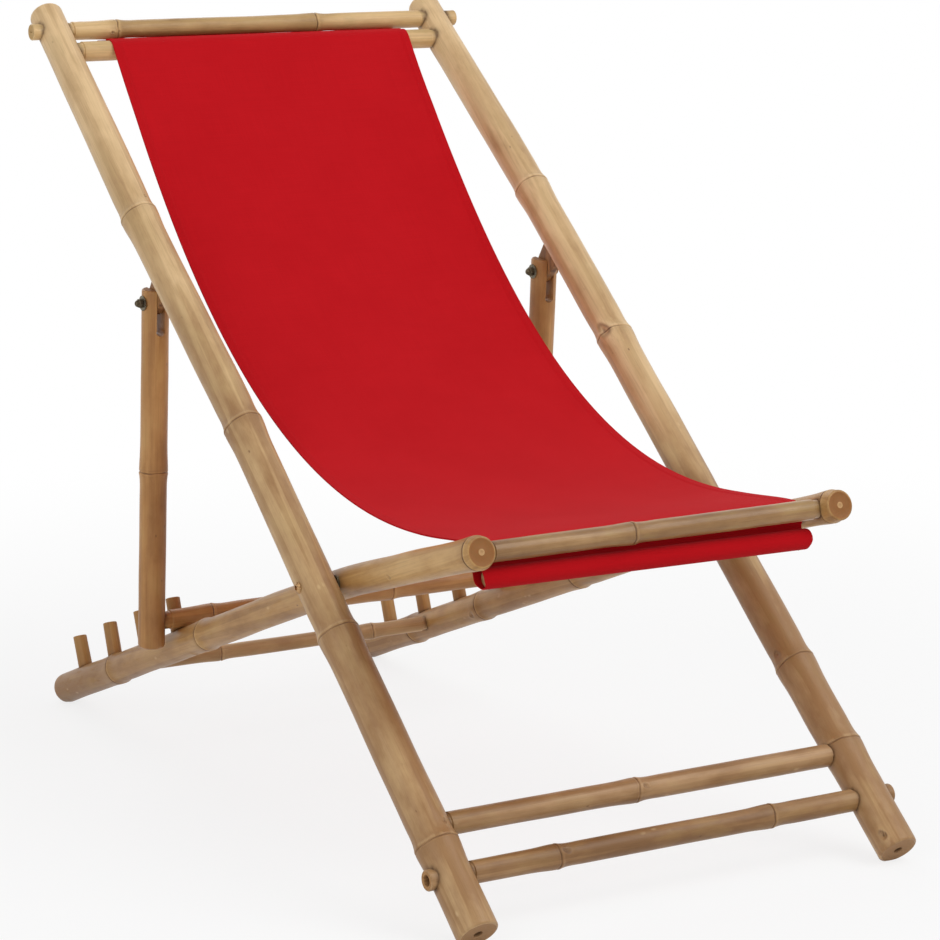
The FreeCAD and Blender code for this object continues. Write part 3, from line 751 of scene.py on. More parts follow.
@dataclass
class Culm:
    """One bamboo rod or pole, swept along its centre line with all its natural unevenness."""

    name: str
    nodes: tuple[str, ...]
    body: Body
    finish: Finish
    line: Points
    profile: list[tuple[float, float]]
    habit: Habit
    origin: float = 0.0
    ends: tuple[EndCut, EndCut] = (EndCut.PLAIN, EndCut.PLAIN)
    rounding: tuple[float, float] = (1.5 * MM, 1.5 * MM)
    neighbours: list[Line] = field(default_factory=list)
    side: Vector = field(default_factory=X_AXIS.copy)
    growth: float = 1.0
    seed: int = 1
    around: int = 72
    step: float = 5.0 * MM
    swell: float = 1.25 * MM
    unevenness: float = 0.35 * MM
    line_depth: float = 0.6
    line_width: float = 0.95
    pith_rings: int = 4
    pith_tone: float = 2.0
    lip_tone: float = 0.18
    tone_step: float = 0.07
    ring_reach: float = 16.0 * MM
    least_step: float = 0.2 * MM
    end_fade: float = 6.0 * MM
    shade_depth: float = 3.0 * MM
    waves_drawn: int = 24
    waves_used: int = 12

    def __post_init__(self) -> None:
        """Works out the length and the random character of the culm."""
        self.length = sum((b - a).length for a, b in zip(self.line, self.line[1:]))
        self.rings = [self.origin + ring * MM for ring in self.habit.rings]
        dice = np.random.default_rng(self.seed)
        self.phases = dice.uniform(0.0, TURN, self.waves_drawn)
        self.waves = dice.uniform(6.0, 26.0, self.waves_drawn)
        self.ring_phase = dice.uniform(0.0, TURN, (len(self.rings) + 1, 2))
        self.ring_tone = dice.uniform(-1.0, 1.0, len(self.rings) + 1)

    def _stations(self) -> np.ndarray:
        """Places along the culm where rings of corners lie, closer at its nodes and ends."""
        turn = np.linspace(0.0, math.pi / 2, 7)
        parts = [np.arange(0.0, self.length, self.step),
                 self.rounding[0] * (1.0 - np.cos(turn)),
                 self.length - self.rounding[1] * (1.0 - np.cos(turn))]
        nearby = self.ring_reach * np.sinh(np.linspace(-3.2, 3.2, 56)) / math.sinh(3.2)
        parts += [ring + nearby for ring in self.rings]
        parts += [self.origin + (bud.station + np.linspace(-2.0, 2.0, 14) * bud.radius) * MM
                  for bud in self.habit.buds]
        parts += [station + np.array([-0.3, 0.0, 0.3]) * MM for station, _ in self.profile]
        every = np.concatenate(parts)
        every = np.unique(np.round(every[(every >= 0.0) & (every <= self.length)], 5))
        kept = [every[0]]
        for station in every[1:]:
            if station - kept[-1] > self.least_step:
                kept.append(station)
        kept[-1] = self.length
        return np.array(kept)

    def _centre(self, stations: np.ndarray, reach: float = 60.0 * MM) -> tuple[np.ndarray, np.ndarray]:
        """Centre line and its direction at each station, with its corners eased over a reach."""
        marks = np.cumsum([0.0] + [(b - a).length for a, b in zip(self.line, self.line[1:])])
        corners = np.array([tuple(p) for p in self.line])
        if len(self.line) == 2:
            along = (corners[1] - corners[0]) / self.length
            return corners[0] + np.outer(stations, along), np.tile(along, (len(stations), 1))
        first = (corners[1] - corners[0]) / (marks[1] - marks[0])
        last = (corners[-1] - corners[-2]) / (marks[-1] - marks[-2])
        total, weight = 0.0, 0.0
        for offset in np.linspace(-reach, reach, 25):
            moved = np.clip(stations + offset, -reach, self.length + reach)
            places = np.stack([np.interp(moved, marks, corners[:, k]) for k in range(3)], axis=1)
            places += np.outer(np.minimum(moved, 0.0), first)
            places += np.outer(np.maximum(moved - self.length, 0.0), last)
            share = math.exp(-(offset / reach * 1.8) ** 2)
            total = total + places * share
            weight += share
        centre = total / weight
        return centre, unit(np.gradient(centre, stations, axis=0))

    def _waviness(self, stations: np.ndarray, angles: np.ndarray) -> np.ndarray:
        """Smooth unevenness between -1 and 1 over the surface."""
        return sum(np.sin(k % 4 * angles + self.waves[k] * stations * (1 + k * 0.3) + self.phases[k])
                   / (1.0 + 0.25 * k) for k in range(self.waves_used)) / 4.0

    def relief(self, stations: np.ndarray, angles: np.ndarray) -> tuple[np.ndarray, np.ndarray, np.ndarray]:
        """Height of the skin over the plain culm, how dark its scars are and how pale its lips are.

        Args:
            stations: Distance of each corner along the culm.
            angles: Angle of each corner around it.

        Returns:
            The height in metres, and the darkness and the paleness from 0 to 1.
        """
        height = self.unevenness * self._waviness(stations, angles)
        scar, lip = np.zeros_like(height), np.zeros_like(height)
        for ring, (one, two) in zip(self.rings, self.ring_phase):
            centre = ring + (1.1 * np.sin(angles + one) + 0.4 * np.sin(3 * angles + two)
                             + 0.2 * np.sin(8 * angles + one)) * MM
            away = (stations - centre) * self.growth / MM
            strength = 0.68 + 0.32 * np.sin(2 * angles + two) * np.sin(3 * angles + one)
            # A long swelling below the node and a short one above it, then its lip and its groove.
            height += self.swell * (hill(away, 0.0, np.where(away < 0.0, 20.0, 7.5))
                                    - 0.22 * hill(away, 20.0, 9.0))
            height += 0.42 * MM * strength * hill(away, 2.4, 1.6) - 0.8 * MM * hill(away, 0.0, 0.75)
            # The dark node line, the fainter line of the leaf sheath below it, and a stain.
            scar += self.line_depth * (1.3 * strength * hill(away, -0.05, self.line_width)
                                       + 0.3 * (1.4 - strength) * hill(away, -3.4, 1.1))
            scar += 0.16 * hill(away, -7.0, 6.0)
            lip += hill(away, 2.6, 1.7)
        for bud in self.habit.buds:
            self._add_bud(bud, stations, angles, height, scar, lip)
        return height, np.clip(scar, 0.0, 1.0), np.clip(lip, 0.0, 1.0)

    def _add_bud(self, bud: Bud, stations: np.ndarray, angles: np.ndarray, height: np.ndarray,
                 scar: np.ndarray, lip: np.ndarray) -> None:
        """Adds one twig scar: an uneven swelling with a sunk eye, darker round its edge."""
        station = self.origin + bud.station * MM
        radius = np.interp(station, *zip(*self.profile))
        turn = np.angle(np.exp(1j * (angles - math.radians(bud.angle)))) * radius
        away_along = (stations - station) / 1.25
        around = np.arctan2(away_along, turn)
        phase = 40.0 * station + bud.angle
        away = np.hypot(away_along, turn) / (bud.radius * MM)
        away = away * (1.0 + 0.16 * np.sin(2.0 * around + phase) + 0.1 * np.sin(3.0 * around - phase))
        # A ridge round a sunk eye, with a dark edge that is heavier on one side.
        height += bud.depth * MM * (0.55 * hill(away, 1.0, 0.5) - hill(away, 0.0, 0.5))
        scar += bud.dark * ((0.5 + 0.25 * np.sin(around + phase)) * hill(away, 0.72, 0.26)
                            + 0.8 * hill(away, 0.0, 0.34))
        lip += 0.5 * hill(away, 1.15, 0.3)

    def tones(self, stations: np.ndarray) -> np.ndarray:
        """Paleness of the skin, from the shades given and a small step at each node of the culm."""
        which = np.searchsorted(np.array(sorted(self.rings)), stations)
        return np.interp(stations, *zip(*self.habit.shades)) + self.tone_step * self.ring_tone[which]

    def build(self) -> bpy.types.Object:
        """Makes the mesh with its values for the finish.

        Returns:
            The dressed piece.
        """
        stations = self._stations()
        centre, along = self._centre(stations)
        up = unit(np.cross(along, np.array(self.side)))
        across = np.cross(up, along)
        grid_s, grid_a = np.meshgrid(stations, np.linspace(0.0, TURN, self.around, endpoint=False),
                                     indexing="ij")
        height, scar, lip = self.relief(grid_s, grid_a)
        plain = np.interp(stations, *zip(*self.profile))
        for distance, size in ((stations, self.rounding[0]), (self.length - stations, self.rounding[1])):
            inside = np.clip(size - distance, 0.0, size)
            plain -= size - np.sqrt(np.maximum(size ** 2 - inside ** 2, 0.0))
        fade = np.clip(np.minimum(stations, self.length - stations) / self.end_fade, 0.0, 1.0)
        radius = plain[:, None] + height * fade[:, None]
        spin = np.cos(grid_a)[..., None] * across[:, None, :] + np.sin(grid_a)[..., None] * up[:, None, :]
        body = centre[:, None, :] + spin * radius[..., None]
        first, first_depth = self._end_rings(0, body, along, centre)
        last, last_depth = self._end_rings(-1, body, along, centre)
        places = np.concatenate([first[::-1], body, last])
        fans = np.array([places[0].mean(axis=0), places[-1].mean(axis=0)])
        vertices = np.concatenate([places.reshape(-1, 3), fans])
        vertices[:, 2] = np.maximum(vertices[:, 2], 0.0)
        piece = mesh_object(self.name, vertices, ring_faces(len(places), self.around))

        caps = (len(first), len(last))
        # Cut ends get painted shade that deepens with how far each ring is sunk, full at the shade depth.
        sunk = np.concatenate([first_depth[::-1], np.zeros(len(stations)), last_depth]) / self.shade_depth
        flat_s = self._each(np.pad(stations, caps, mode="edge"))
        cap = self._each(np.pad(np.zeros(len(stations)), caps, constant_values=1.0))
        scar, lip = (np.append(np.pad(grid, (caps, (0, 0))), (0.0, 0.0)) for grid in (scar, lip))
        tone = self.tones(flat_s) + self.lip_tone * lip
        if self.ends[0] is EndCut.BUTTON:
            tone[:self.pith_rings * self.around] = self.pith_tone
            tone[-2] = self.pith_tone
        self.paint(piece.data, vertices, flat_s, scar, cap, self._each(np.clip(sunk, 0.0, 1.0)), tone)
        dress(piece, self.finish, self.body, self.nodes)
        return piece

    def _each(self, values: np.ndarray) -> np.ndarray:
        """One value for each ring, spread to all corners and to the two fan points."""
        return np.append(np.repeat(values, self.around), (values[0], values[-1]))

    def _end_rings(self, end: int, body: np.ndarray, along: np.ndarray,
                   centre: np.ndarray) -> tuple[np.ndarray, np.ndarray]:
        """Rings of corners of one cut end, from the rim to the centre, and how deep each lies."""
        outward = along[end] * (-1.0 if end == 0 else 1.0)
        shares, depths = np.array(self.ends[end].value).T
        rings = (centre[end] + (body[end] - centre[end]) * shares[:, None, None]
                 - outward * depths[:, None, None] * MM)
        return rings, np.maximum(depths, 0.0) * MM

    def paint(self, mesh: bpy.types.Mesh, places: np.ndarray, stations: np.ndarray, scar: np.ndarray,
              cap: np.ndarray, painted_shade: np.ndarray, tone: np.ndarray) -> None:
        """Stores what the finish reads for each corner.

        Args:
            mesh: Mesh of the culm.
            places: Its corners.
            stations: Distance of each corner along the culm.
            scar: Darkness of its node lines and twig scars, 0 to 1.
            cap: 1 on end grain, else 0.
            painted_shade: Painted shade in hollows and cuts, 0 to 1, to which the joints' painted shade is
                added.
            tone: Paleness.
        """
        side = np.array(self.side)
        up = np.cross(np.array(self.line[-1] - self.line[0]) / self.length, side)
        away = places - np.array(self.line[0])
        for neighbour in self.neighbours:
            painted_shade = np.maximum(painted_shade, neighbour.shade(places))
        store(mesh, "culm", np.stack([away @ side, away @ up, stations + 3.7 * self.seed], axis=1))
        store(mesh, "marks", np.stack([scar, cap, painted_shade], axis=1))
        store(mesh, "tone", tone)


SEEDS = {"left_back_pole": 3, "right_back_pole": 5, "left_seat_pole": 11, "right_seat_pole": 13,
         "upper_top_rail": 31, "canvas_top_rail": 32, "upper_rung": 33, "lower_rung": 34,
         "front_rail": 41, "canvas_front_rail": 42, "rear_cross_rail": 43, "strut_cross_rail": 51,
         "left_strut": 61, "right_strut": 59, "left_pegs": 71, "right_pegs": 69, "first_peg": 80}
PEG_STATIONS = tuple((465.0 + 100.0 * k) * MM for k in range(4))
PEG_RADIUS = 9.2 * MM
RAIL_RADII = {"upper_top_rail": 11.2 * MM, "canvas_top_rail": 12.3 * MM, "upper_rung": 12.7 * MM,
              "lower_rung": 12.5 * MM, "front_rail": 11.3 * MM, "canvas_front_rail": 12.3 * MM,
              "rear_cross_rail": 9.6 * MM, "strut_cross_rail": 12.0 * MM}


@dataclass
class Layout:
    """Lines of the three frames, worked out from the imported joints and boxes."""

    back_angle: float = 40.6
    pivot_station: float = 454.0 * MM
    pivot_rise: float = 3.4 * MM
    back_length: float = 1367.0 * MM
    foot_radius: float = 23.0 * MM
    top_radius: float = 20.4 * MM
    seat_rear_angle: float = 20.76
    seat_front_angle: float = 16.8
    seat_front_length: float = 294.0 * MM
    seat_front_radius: float = 17.0 * MM
    seat_rear_radius: float = 19.3 * MM
    rear_rounding: float = 8.0 * MM

    def __post_init__(self) -> None:
        """Reads the frame and sets the reference points and directions."""
        joints = {joint["name"]: Vector(joint["pos_m"]) for joint in frame["joints"]}
        self.pivot = joints["back_fold"]
        self.lug_axis = joints["prop_fold"]
        self.back_dir = self.tilted(self.back_angle)
        self.back_up = self.tilted(self.back_angle + 90.0)
        self.rear_dir = self.tilted(-self.seat_rear_angle)
        self.rear_up = self.tilted(90.0 - self.seat_rear_angle)
        self.front_dir = self.tilted(180.0 - self.seat_front_angle)
        self.front_up = self.tilted(90.0 - self.seat_front_angle)
        self.foot = self.pivot - self.back_dir * self.pivot_station - self.back_up * self.pivot_rise
        self.back_x = self.middle("left_back_pole").x
        self.seat_x = self.middle("left_seat_pole").x
        rear_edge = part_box("left_seat_pole")[1][1] - self.pivot.y - self.rear_rounding
        rear_edge -= (self.seat_rear_radius - self.rear_rounding) * self.rear_up.y
        self.seat_rear_length = rear_edge / self.rear_dir.y + self.rear_rounding
        self.strut_dir = (self.middle("strut_cross_rail") - self.lug_axis).normalized()

    @staticmethod
    def tilted(angle: float) -> Vector:
        """Unit vector in the YZ plane at an angle above +Y, in degrees."""
        return Vector((0.0, math.cos(math.radians(angle)), math.sin(math.radians(angle))))

    @staticmethod
    def middle(node: str) -> Vector:
        """Middle of a node's box."""
        low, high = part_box(node)
        return (Vector(low) + Vector(high)) / 2

    def back_point(self, station: float, rise: float, x: float) -> Vector:
        """Point beside a back pole."""
        return self.foot + self.back_dir * station + self.back_up * rise + X_AXIS * x

    def seat_point(self, station: float, rise: float, x: float) -> Vector:
        """Point beside a seat pole, behind the pivot when the station is positive."""
        if station >= 0.0:
            return self.pivot + self.rear_dir * station + self.rear_up * rise + X_AXIS * x
        return self.pivot - self.front_dir * station + self.front_up * rise + X_AXIS * x

    def rail_line(self, name: str) -> Line:
        """The painted joint shade that a rail leaves on the poles that it enters."""
        low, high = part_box(name)
        return Line(self.middle(name), X_AXIS, RAIL_RADII[name] - 0.6 * MM, (high[0] - low[0]) / 2)

    def back_radius(self, station: float) -> float:
        """Radius of a back pole at a station."""
        return self.foot_radius + (self.top_radius - self.foot_radius) * station / self.back_length

    def seat_radius(self, station: float) -> float:
        """Radius of a seat pole at a station behind the pivot."""
        share = (station + self.seat_front_length) / (self.seat_front_length + self.seat_rear_length)
        return self.seat_front_radius + (self.seat_rear_radius - self.seat_front_radius) * share


@dataclass
class RailMaker:
    """Maker of the rails that run across between two poles."""

    layout: Layout
    body: Body
    pole_x: float
    tenon_step: float = 1.2 * MM
    shoulder: float = 6.0 * MM
    pole_reach: float = 18.0 * MM

    def build(self, name: str, habit: Habit, finish: Finish,
              ends: tuple[EndCut, EndCut] = (EndCut.PLAIN, EndCut.PLAIN)) -> None:
        """Makes one rail in the place of its node.

        Args:
            name: The node that it stands for.
            habit: How it grew, counted from its middle.
            finish: Its finish.
            ends: Cuts of its -X and +X ends.
        """
        low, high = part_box(name)
        middle, half = self.layout.middle(name), (high[0] - low[0]) / 2
        radius = RAIL_RADII[name]
        inner = min(self.pole_x - self.pole_reach, half)
        shoulder = half - max(self.shoulder, half - inner + self.shoulder)
        start = middle - X_AXIS * half
        thin = radius - self.tenon_step
        marks = [(0.0, thin), (half - shoulder - 1 * MM, thin), (half - shoulder, radius),
                 (half + shoulder, radius), (half + shoulder + 1 * MM, thin), (2 * half, thin)]
        direction, pole_radius = self._poles(name)
        poles = [Line(Vector((side * self.pole_x, middle.y, middle.z)), direction, pole_radius)
                 for side in SIDES.values()]
        Culm(f"{name}_culm", (name,), self.body, finish, [start, start + X_AXIS * 2 * half], marks, habit,
             half, ends, (1.4 * MM, 1.4 * MM), poles, Y_AXIS.copy(), seed=SEEDS[name], around=56,
             step=4.0 * MM, swell=1.3 * MM, line_depth=0.7).build()

    def _poles(self, name: str) -> tuple[Vector, float]:
        """Direction and radius of the poles that hold a rail."""
        layout = self.layout
        if self.body is Body.BACK:
            return layout.back_dir, layout.back_radius(0.1 if name.endswith("rung") else 1.3)
        if self.body is Body.PROP:
            return layout.strut_dir, PropFrame.radius
        if name.startswith("rear"):
            return layout.rear_dir, layout.seat_radius(0.64)
        return layout.front_dir, layout.seat_radius(-0.26)


@dataclass
class BackFrame:
    """Two long poles with two top rails and two rungs."""

    layout: Layout
    # The poles' shades run darker towards their feet: partly the bamboo's own tone, partly painted shade on
    # their lower halves.
    poles: dict[str, Habit] = field(default_factory=lambda: {
        "right": Habit((109, 386, 680, 1018), (Bud(126, 292, 3.2), Bud(700, 20), Bud(1034, 292, 2.6)),
                       ((0, 0.22), (0.1, -0.05), (0.35, 0.08), (0.45, 0.28), (0.68, 0.2), (0.74, 0.45),
                        (0.95, 0.6), (1.1, 0.74), (1.367, 0.9)),
                       ((0, 0), (389, 2), (685, 8), (1024, -4), (1367, -1))),
        "left": Habit((140, 257, 490, 760, 1013),
                      (Bud(15, 214, 5.0, 1.8, 1.0), Bud(271, 196, 5.0), Bud(763, 209, 9.0, 1.7, 0.85),
                       Bud(1028, 60)),
                      ((0, 0.08), (0.3, -0.12), (0.5, 0.05), (0.65, 0.5), (0.9, 0.62), (1.367, 0.95)),
                      ((0, 0), (259, 1.5), (764, 7), (1020, 7), (1367, -6)))})
    rails: dict[str, Habit] = field(default_factory=lambda: {
        "upper_top_rail": Habit((-188, 92), (Bud(-197, 192, 1.9, 1.3),),
                                ((0, 0.95), (0.1, 0.75), (0.118, 0.2), (0.3, 0.3), (0.5, 0.7))),
        "canvas_top_rail": Habit(shades=((0, 0.85), (0.5, 0.75))),
        "upper_rung": Habit((-13,), (Bud(-4, 150, 3.4),), ((0, 0.4), (0.2, 0.55), (0.5, 0.75))),
        "lower_rung": Habit((-144, 132), (Bud(-134, 140, 4.4, 1.2),),
                            ((0, 0.6), (0.1, 0.45), (0.2, 0.3), (0.5, 0.45)))})

    def build(self) -> None:
        """Makes the poles and rails of the back."""
        for side in SIDES:
            self._pole(side)
        rail = RailMaker(self.layout, Body.BACK, self.layout.back_x)
        for name, habit in self.rails.items():
            ends = (EndCut.HOLLOW if name == "lower_rung" else EndCut.PLAIN, EndCut.PLAIN)
            rail.build(name, habit, FINISHES.low if name.endswith("rung") else FINISHES.rail, ends)

    def _pole(self, side: str) -> None:
        """Makes one long pole."""
        layout, x, habit = self.layout, SIDES[side] * self.layout.back_x, self.poles[side]
        line = [layout.back_point(station * MM, rise * MM, x) for station, rise in habit.bow]
        profile = [(0.0, layout.foot_radius), (layout.back_length * 1.01, layout.top_radius)]
        Culm(f"{side}_back_pole_culm", (f"{side}_back_pole",), Body.BACK, FINISHES.pole, line, profile, habit,
             ends=(EndCut.PITH, EndCut.DOMED), rounding=(3.0 * MM, 6.0 * MM),
             neighbours=[layout.rail_line(name) for name in self.rails], seed=SEEDS[f"{side}_back_pole"],
             around=84, swell=1.7 * MM, unevenness=0.5 * MM, line_depth=0.5).build()


@dataclass
class SeatFrame:
    """Two seat poles with their rails and pegs."""

    layout: Layout
    rings: dict[str, tuple[float, ...]] = field(default_factory=lambda: {
        "right": (-285, 380, 657), "left": (-279, 259, 500, 690)})
    buds: dict[str, tuple[Bud, ...]] = field(default_factory=lambda: {
        "right": (Bud(-120, 160, 3), Bud(418, 100)),
        "left": (Bud(272, 210, 4.5), Bud(395, 230, 4), Bud(514, 150, 5))})
    shades: Rows = ((0.0, 0.35), (0.06, 0.6), (0.3, 0.5), (0.5, 0.35), (0.7, 0.4), (0.95, 0.25), (1.0, 0.1))
    rails: dict[str, Habit] = field(default_factory=lambda: {
        "front_rail": Habit((-33,), shades=((0.0, 0.25), (0.2, 0.35), (0.4, 0.6))),
        "canvas_front_rail": Habit(),
        "rear_cross_rail": Habit((-95, 128), shades=((0.0, 0.6), (0.4, 0.75)))})
    peg_height: float = 41.5
    peg_root: float = 6.0 * MM

    def build(self) -> None:
        """Makes the poles, rails and pegs of the seat."""
        for side in SIDES:
            self._pole(side)
            self._pegs(side)
        rail = RailMaker(self.layout, Body.SEAT, self.layout.seat_x)
        finishes = (FINISHES.front, FINISHES.rail, FINISHES.rear)
        for (name, habit), finish in zip(self.rails.items(), finishes):
            rail.build(name, habit, finish)

    def _pole(self, side: str) -> None:
        """Makes one seat pole."""
        layout, x = self.layout, SIDES[side] * self.layout.seat_x
        front, rear = layout.seat_front_length, layout.seat_rear_length
        line = [layout.seat_point(station, 0.0, x) for station in (-front, 0.0, rear)]
        neighbours = [layout.rail_line(name) for name in self.rails]
        neighbours += [Line(layout.seat_point(station, layout.seat_radius(station) + 20.0 * MM, x),
                            layout.rear_up, PEG_RADIUS - 0.3 * MM, 30.0 * MM) for station in PEG_STATIONS]
        Culm(f"{side}_seat_pole_culm", (f"{side}_seat_pole",), Body.SEAT, FINISHES.seat, line,
             [(0.0, layout.seat_front_radius), (front + rear, layout.seat_rear_radius)],
             Habit(self.rings[side], self.buds[side], self.shades), front, (EndCut.BUTTON, EndCut.KNOB),
             (2.0 * MM, layout.rear_rounding), neighbours, growth=-1.0, seed=SEEDS[f"{side}_seat_pole"],
             around=80, swell=1.4 * MM, unevenness=0.6 * MM, line_depth=1.0, line_width=1.45).build()

    def _pegs(self, side: str) -> None:
        """Makes the pegs of one seat pole, joined into one piece."""
        layout, x = self.layout, SIDES[side] * self.layout.seat_x
        dice = np.random.default_rng(SEEDS[f"{side}_pegs"])
        habit = Habit(shades=((0.0, 0.35), (0.05, 0.6)))
        made = []
        for number, station in enumerate(PEG_STATIONS):
            skin = layout.seat_radius(station)
            height = (self.peg_height - dice.uniform(0.0, 1.8)) * MM
            lean = layout.rear_dir * dice.uniform(-0.6, 0.6) * MM + X_AXIS * dice.uniform(-0.8, 0.8) * MM
            root = layout.seat_point(station, skin - self.peg_root, x)
            top = layout.seat_point(station, skin + height, x) + lean
            pole = Line(layout.seat_point(station, 0.0, x), layout.rear_dir, skin)
            profile = [(0.0, PEG_RADIUS - 0.1 * MM),
                       ((top - root).length, PEG_RADIUS - dice.uniform(0.1, 0.5) * MM)]
            peg = Culm(f"{side}_peg_{number}", (), Body.SEAT, FINISHES.peg, [root, top], profile, habit,
                       rounding=(0.5 * MM, 1.3 * MM), neighbours=[pole],
                       seed=SEEDS["first_peg"] + number, around=36, step=2.5 * MM, unevenness=0.22 * MM)
            made.append(peg.build())
        pegs = joined(made, f"{side}_peg_row")
        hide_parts(f"{side}_pegs")


@dataclass
class PropFrame:
    """Two forked struts that hang from lugs, and their cross rail."""

    layout: Layout
    radius: float = 16.3 * MM
    above_bolt: float = 16.0 * MM
    below_rail: float = 31.5 * MM
    slot_width: float = 10.4 * MM
    slot_depth: float = 33.0 * MM
    hole_radius: float = 5.6 * MM
    clear: float = 8.0 * MM
    lug_thickness: float = 9.4 * MM
    lug_width: float = 38.0 * MM
    lug_tip: float = 14.5 * MM
    lug_root: float = 10.0 * MM

    def build(self) -> None:
        """Makes the struts, lugs and cross rail."""
        for side in SIDES:
            self._strut(side)
            self._lug(side)
        habit = Habit((-192, 60), shades=((0.0, 0.5), (0.2, 0.35), (0.5, 0.6)))
        rail = RailMaker(self.layout, Body.PROP, self.layout.back_x)
        rail.build("strut_cross_rail", habit, FINISHES.strut)

    def _strut(self, side: str) -> None:
        """Makes one strut and cuts its fork."""
        layout = self.layout
        bolt = layout.lug_axis + X_AXIS * SIDES[side] * layout.back_x
        top = bolt - layout.strut_dir * self.above_bolt
        rail = layout.middle("strut_cross_rail")
        length = self.above_bolt + (rail - layout.lug_axis).length + self.below_rail
        habit = Habit((206.5,), (Bud(372, 228, 1.9, 0.7, 1.0),), ((0.0, 0.55), (0.3, 0.45), (0.5, 0.5)))
        culm = Culm(f"{side}_strut_culm", (f"{side}_strut",), Body.PROP, FINISHES.strut,
                    [top, top + layout.strut_dir * length], [(0.0, self.radius), (length, self.radius)],
                    habit, self.above_bolt, rounding=(2.5 * MM, 4.5 * MM),
                    neighbours=[layout.rail_line("strut_cross_rail")], seed=SEEDS[f"{side}_strut"],
                    swell=0.9 * MM, line_depth=0.7)
        strut = culm.build()
        front = layout.strut_dir.cross(X_AXIS)
        slot_end = bolt + layout.strut_dir * self.slot_depth
        slot_top = bolt - layout.strut_dir * (self.above_bolt + self.clear)
        reach = front * (self.radius + self.clear)
        half = X_AXIS * (self.slot_width / 2)
        corners = [slot_end - reach, slot_end + reach, slot_top + reach, slot_top - reach]
        slot = prism("slot_cutter", [c - half for c in corners], half * 2)
        hole = lathe("hole_cutter", [(0.0, self.hole_radius), (2 * reach.length, self.hole_radius)],
                     slot_end - reach, front, 32)
        carve(strut, [slot, hole])
        self._paint_fork(strut, culm)

    def _paint_fork(self, strut: bpy.types.Object, culm: Culm) -> None:
        """Gives the cut faces of a fork their end grain and shade."""
        places = corners_of(strut.data)
        away = places - np.array(culm.line[0])
        along, side = np.array(self.layout.strut_dir), np.array(culm.side)
        stations = away @ along
        radial = away - np.outer(stations, along)
        depth = self.radius - np.linalg.norm(radial, axis=1)
        angles = np.arctan2(radial @ np.cross(along, side), radial @ side)
        scar = culm.relief(stations, angles)[1] * (depth < 1.5 * MM)
        end = self.above_bolt + self.slot_depth
        cut = (depth > 1.6 * MM) & (stations > 0.2 * MM) & (stations < end + 9 * MM)
        cap = np.where(cut, 0.75, np.where(stations < 0.3 * MM, 1.0, 0.0))
        # Painted shade that deepens into the slot and is strongest at its closed end.
        deep = np.exp(-np.abs(stations - end) / (5.0 * MM))
        painted_shade = np.maximum(np.clip(depth / (16.0 * MM), 0.0, 1.0) * 0.55, 0.8 * deep) * cut
        culm.paint(strut.data, places, stations, scar, cap, painted_shade, culm.tones(stations))

    def _lug(self, side: str) -> None:
        """Makes one wooden lug with eased edges."""
        layout, bolt = self.layout, self.layout.lug_axis
        shift = X_AXIS * (SIDES[side] * layout.back_x - self.lug_thickness / 2)
        rise = (bolt - layout.foot).dot(layout.back_up)
        top = bolt - layout.back_up * (rise + self.lug_root)
        outline = [top + layout.back_dir * way * self.lug_width / 2 for way in (-1.0, 1.0)]
        for turn in (math.pi * step / 16 for step in range(17)):
            outline.append(bolt + layout.back_dir * self.lug_tip * math.cos(turn)
                           - layout.back_up * self.lug_tip * math.sin(turn))
        lug = prism(f"{side}_lug_plate", [p + shift for p in outline], X_AXIS * self.lug_thickness)
        soften(lug, 0.9 * MM)
        dress(lug, FINISHES.lug, Body.BACK, (f"{side}_strut_lug",))


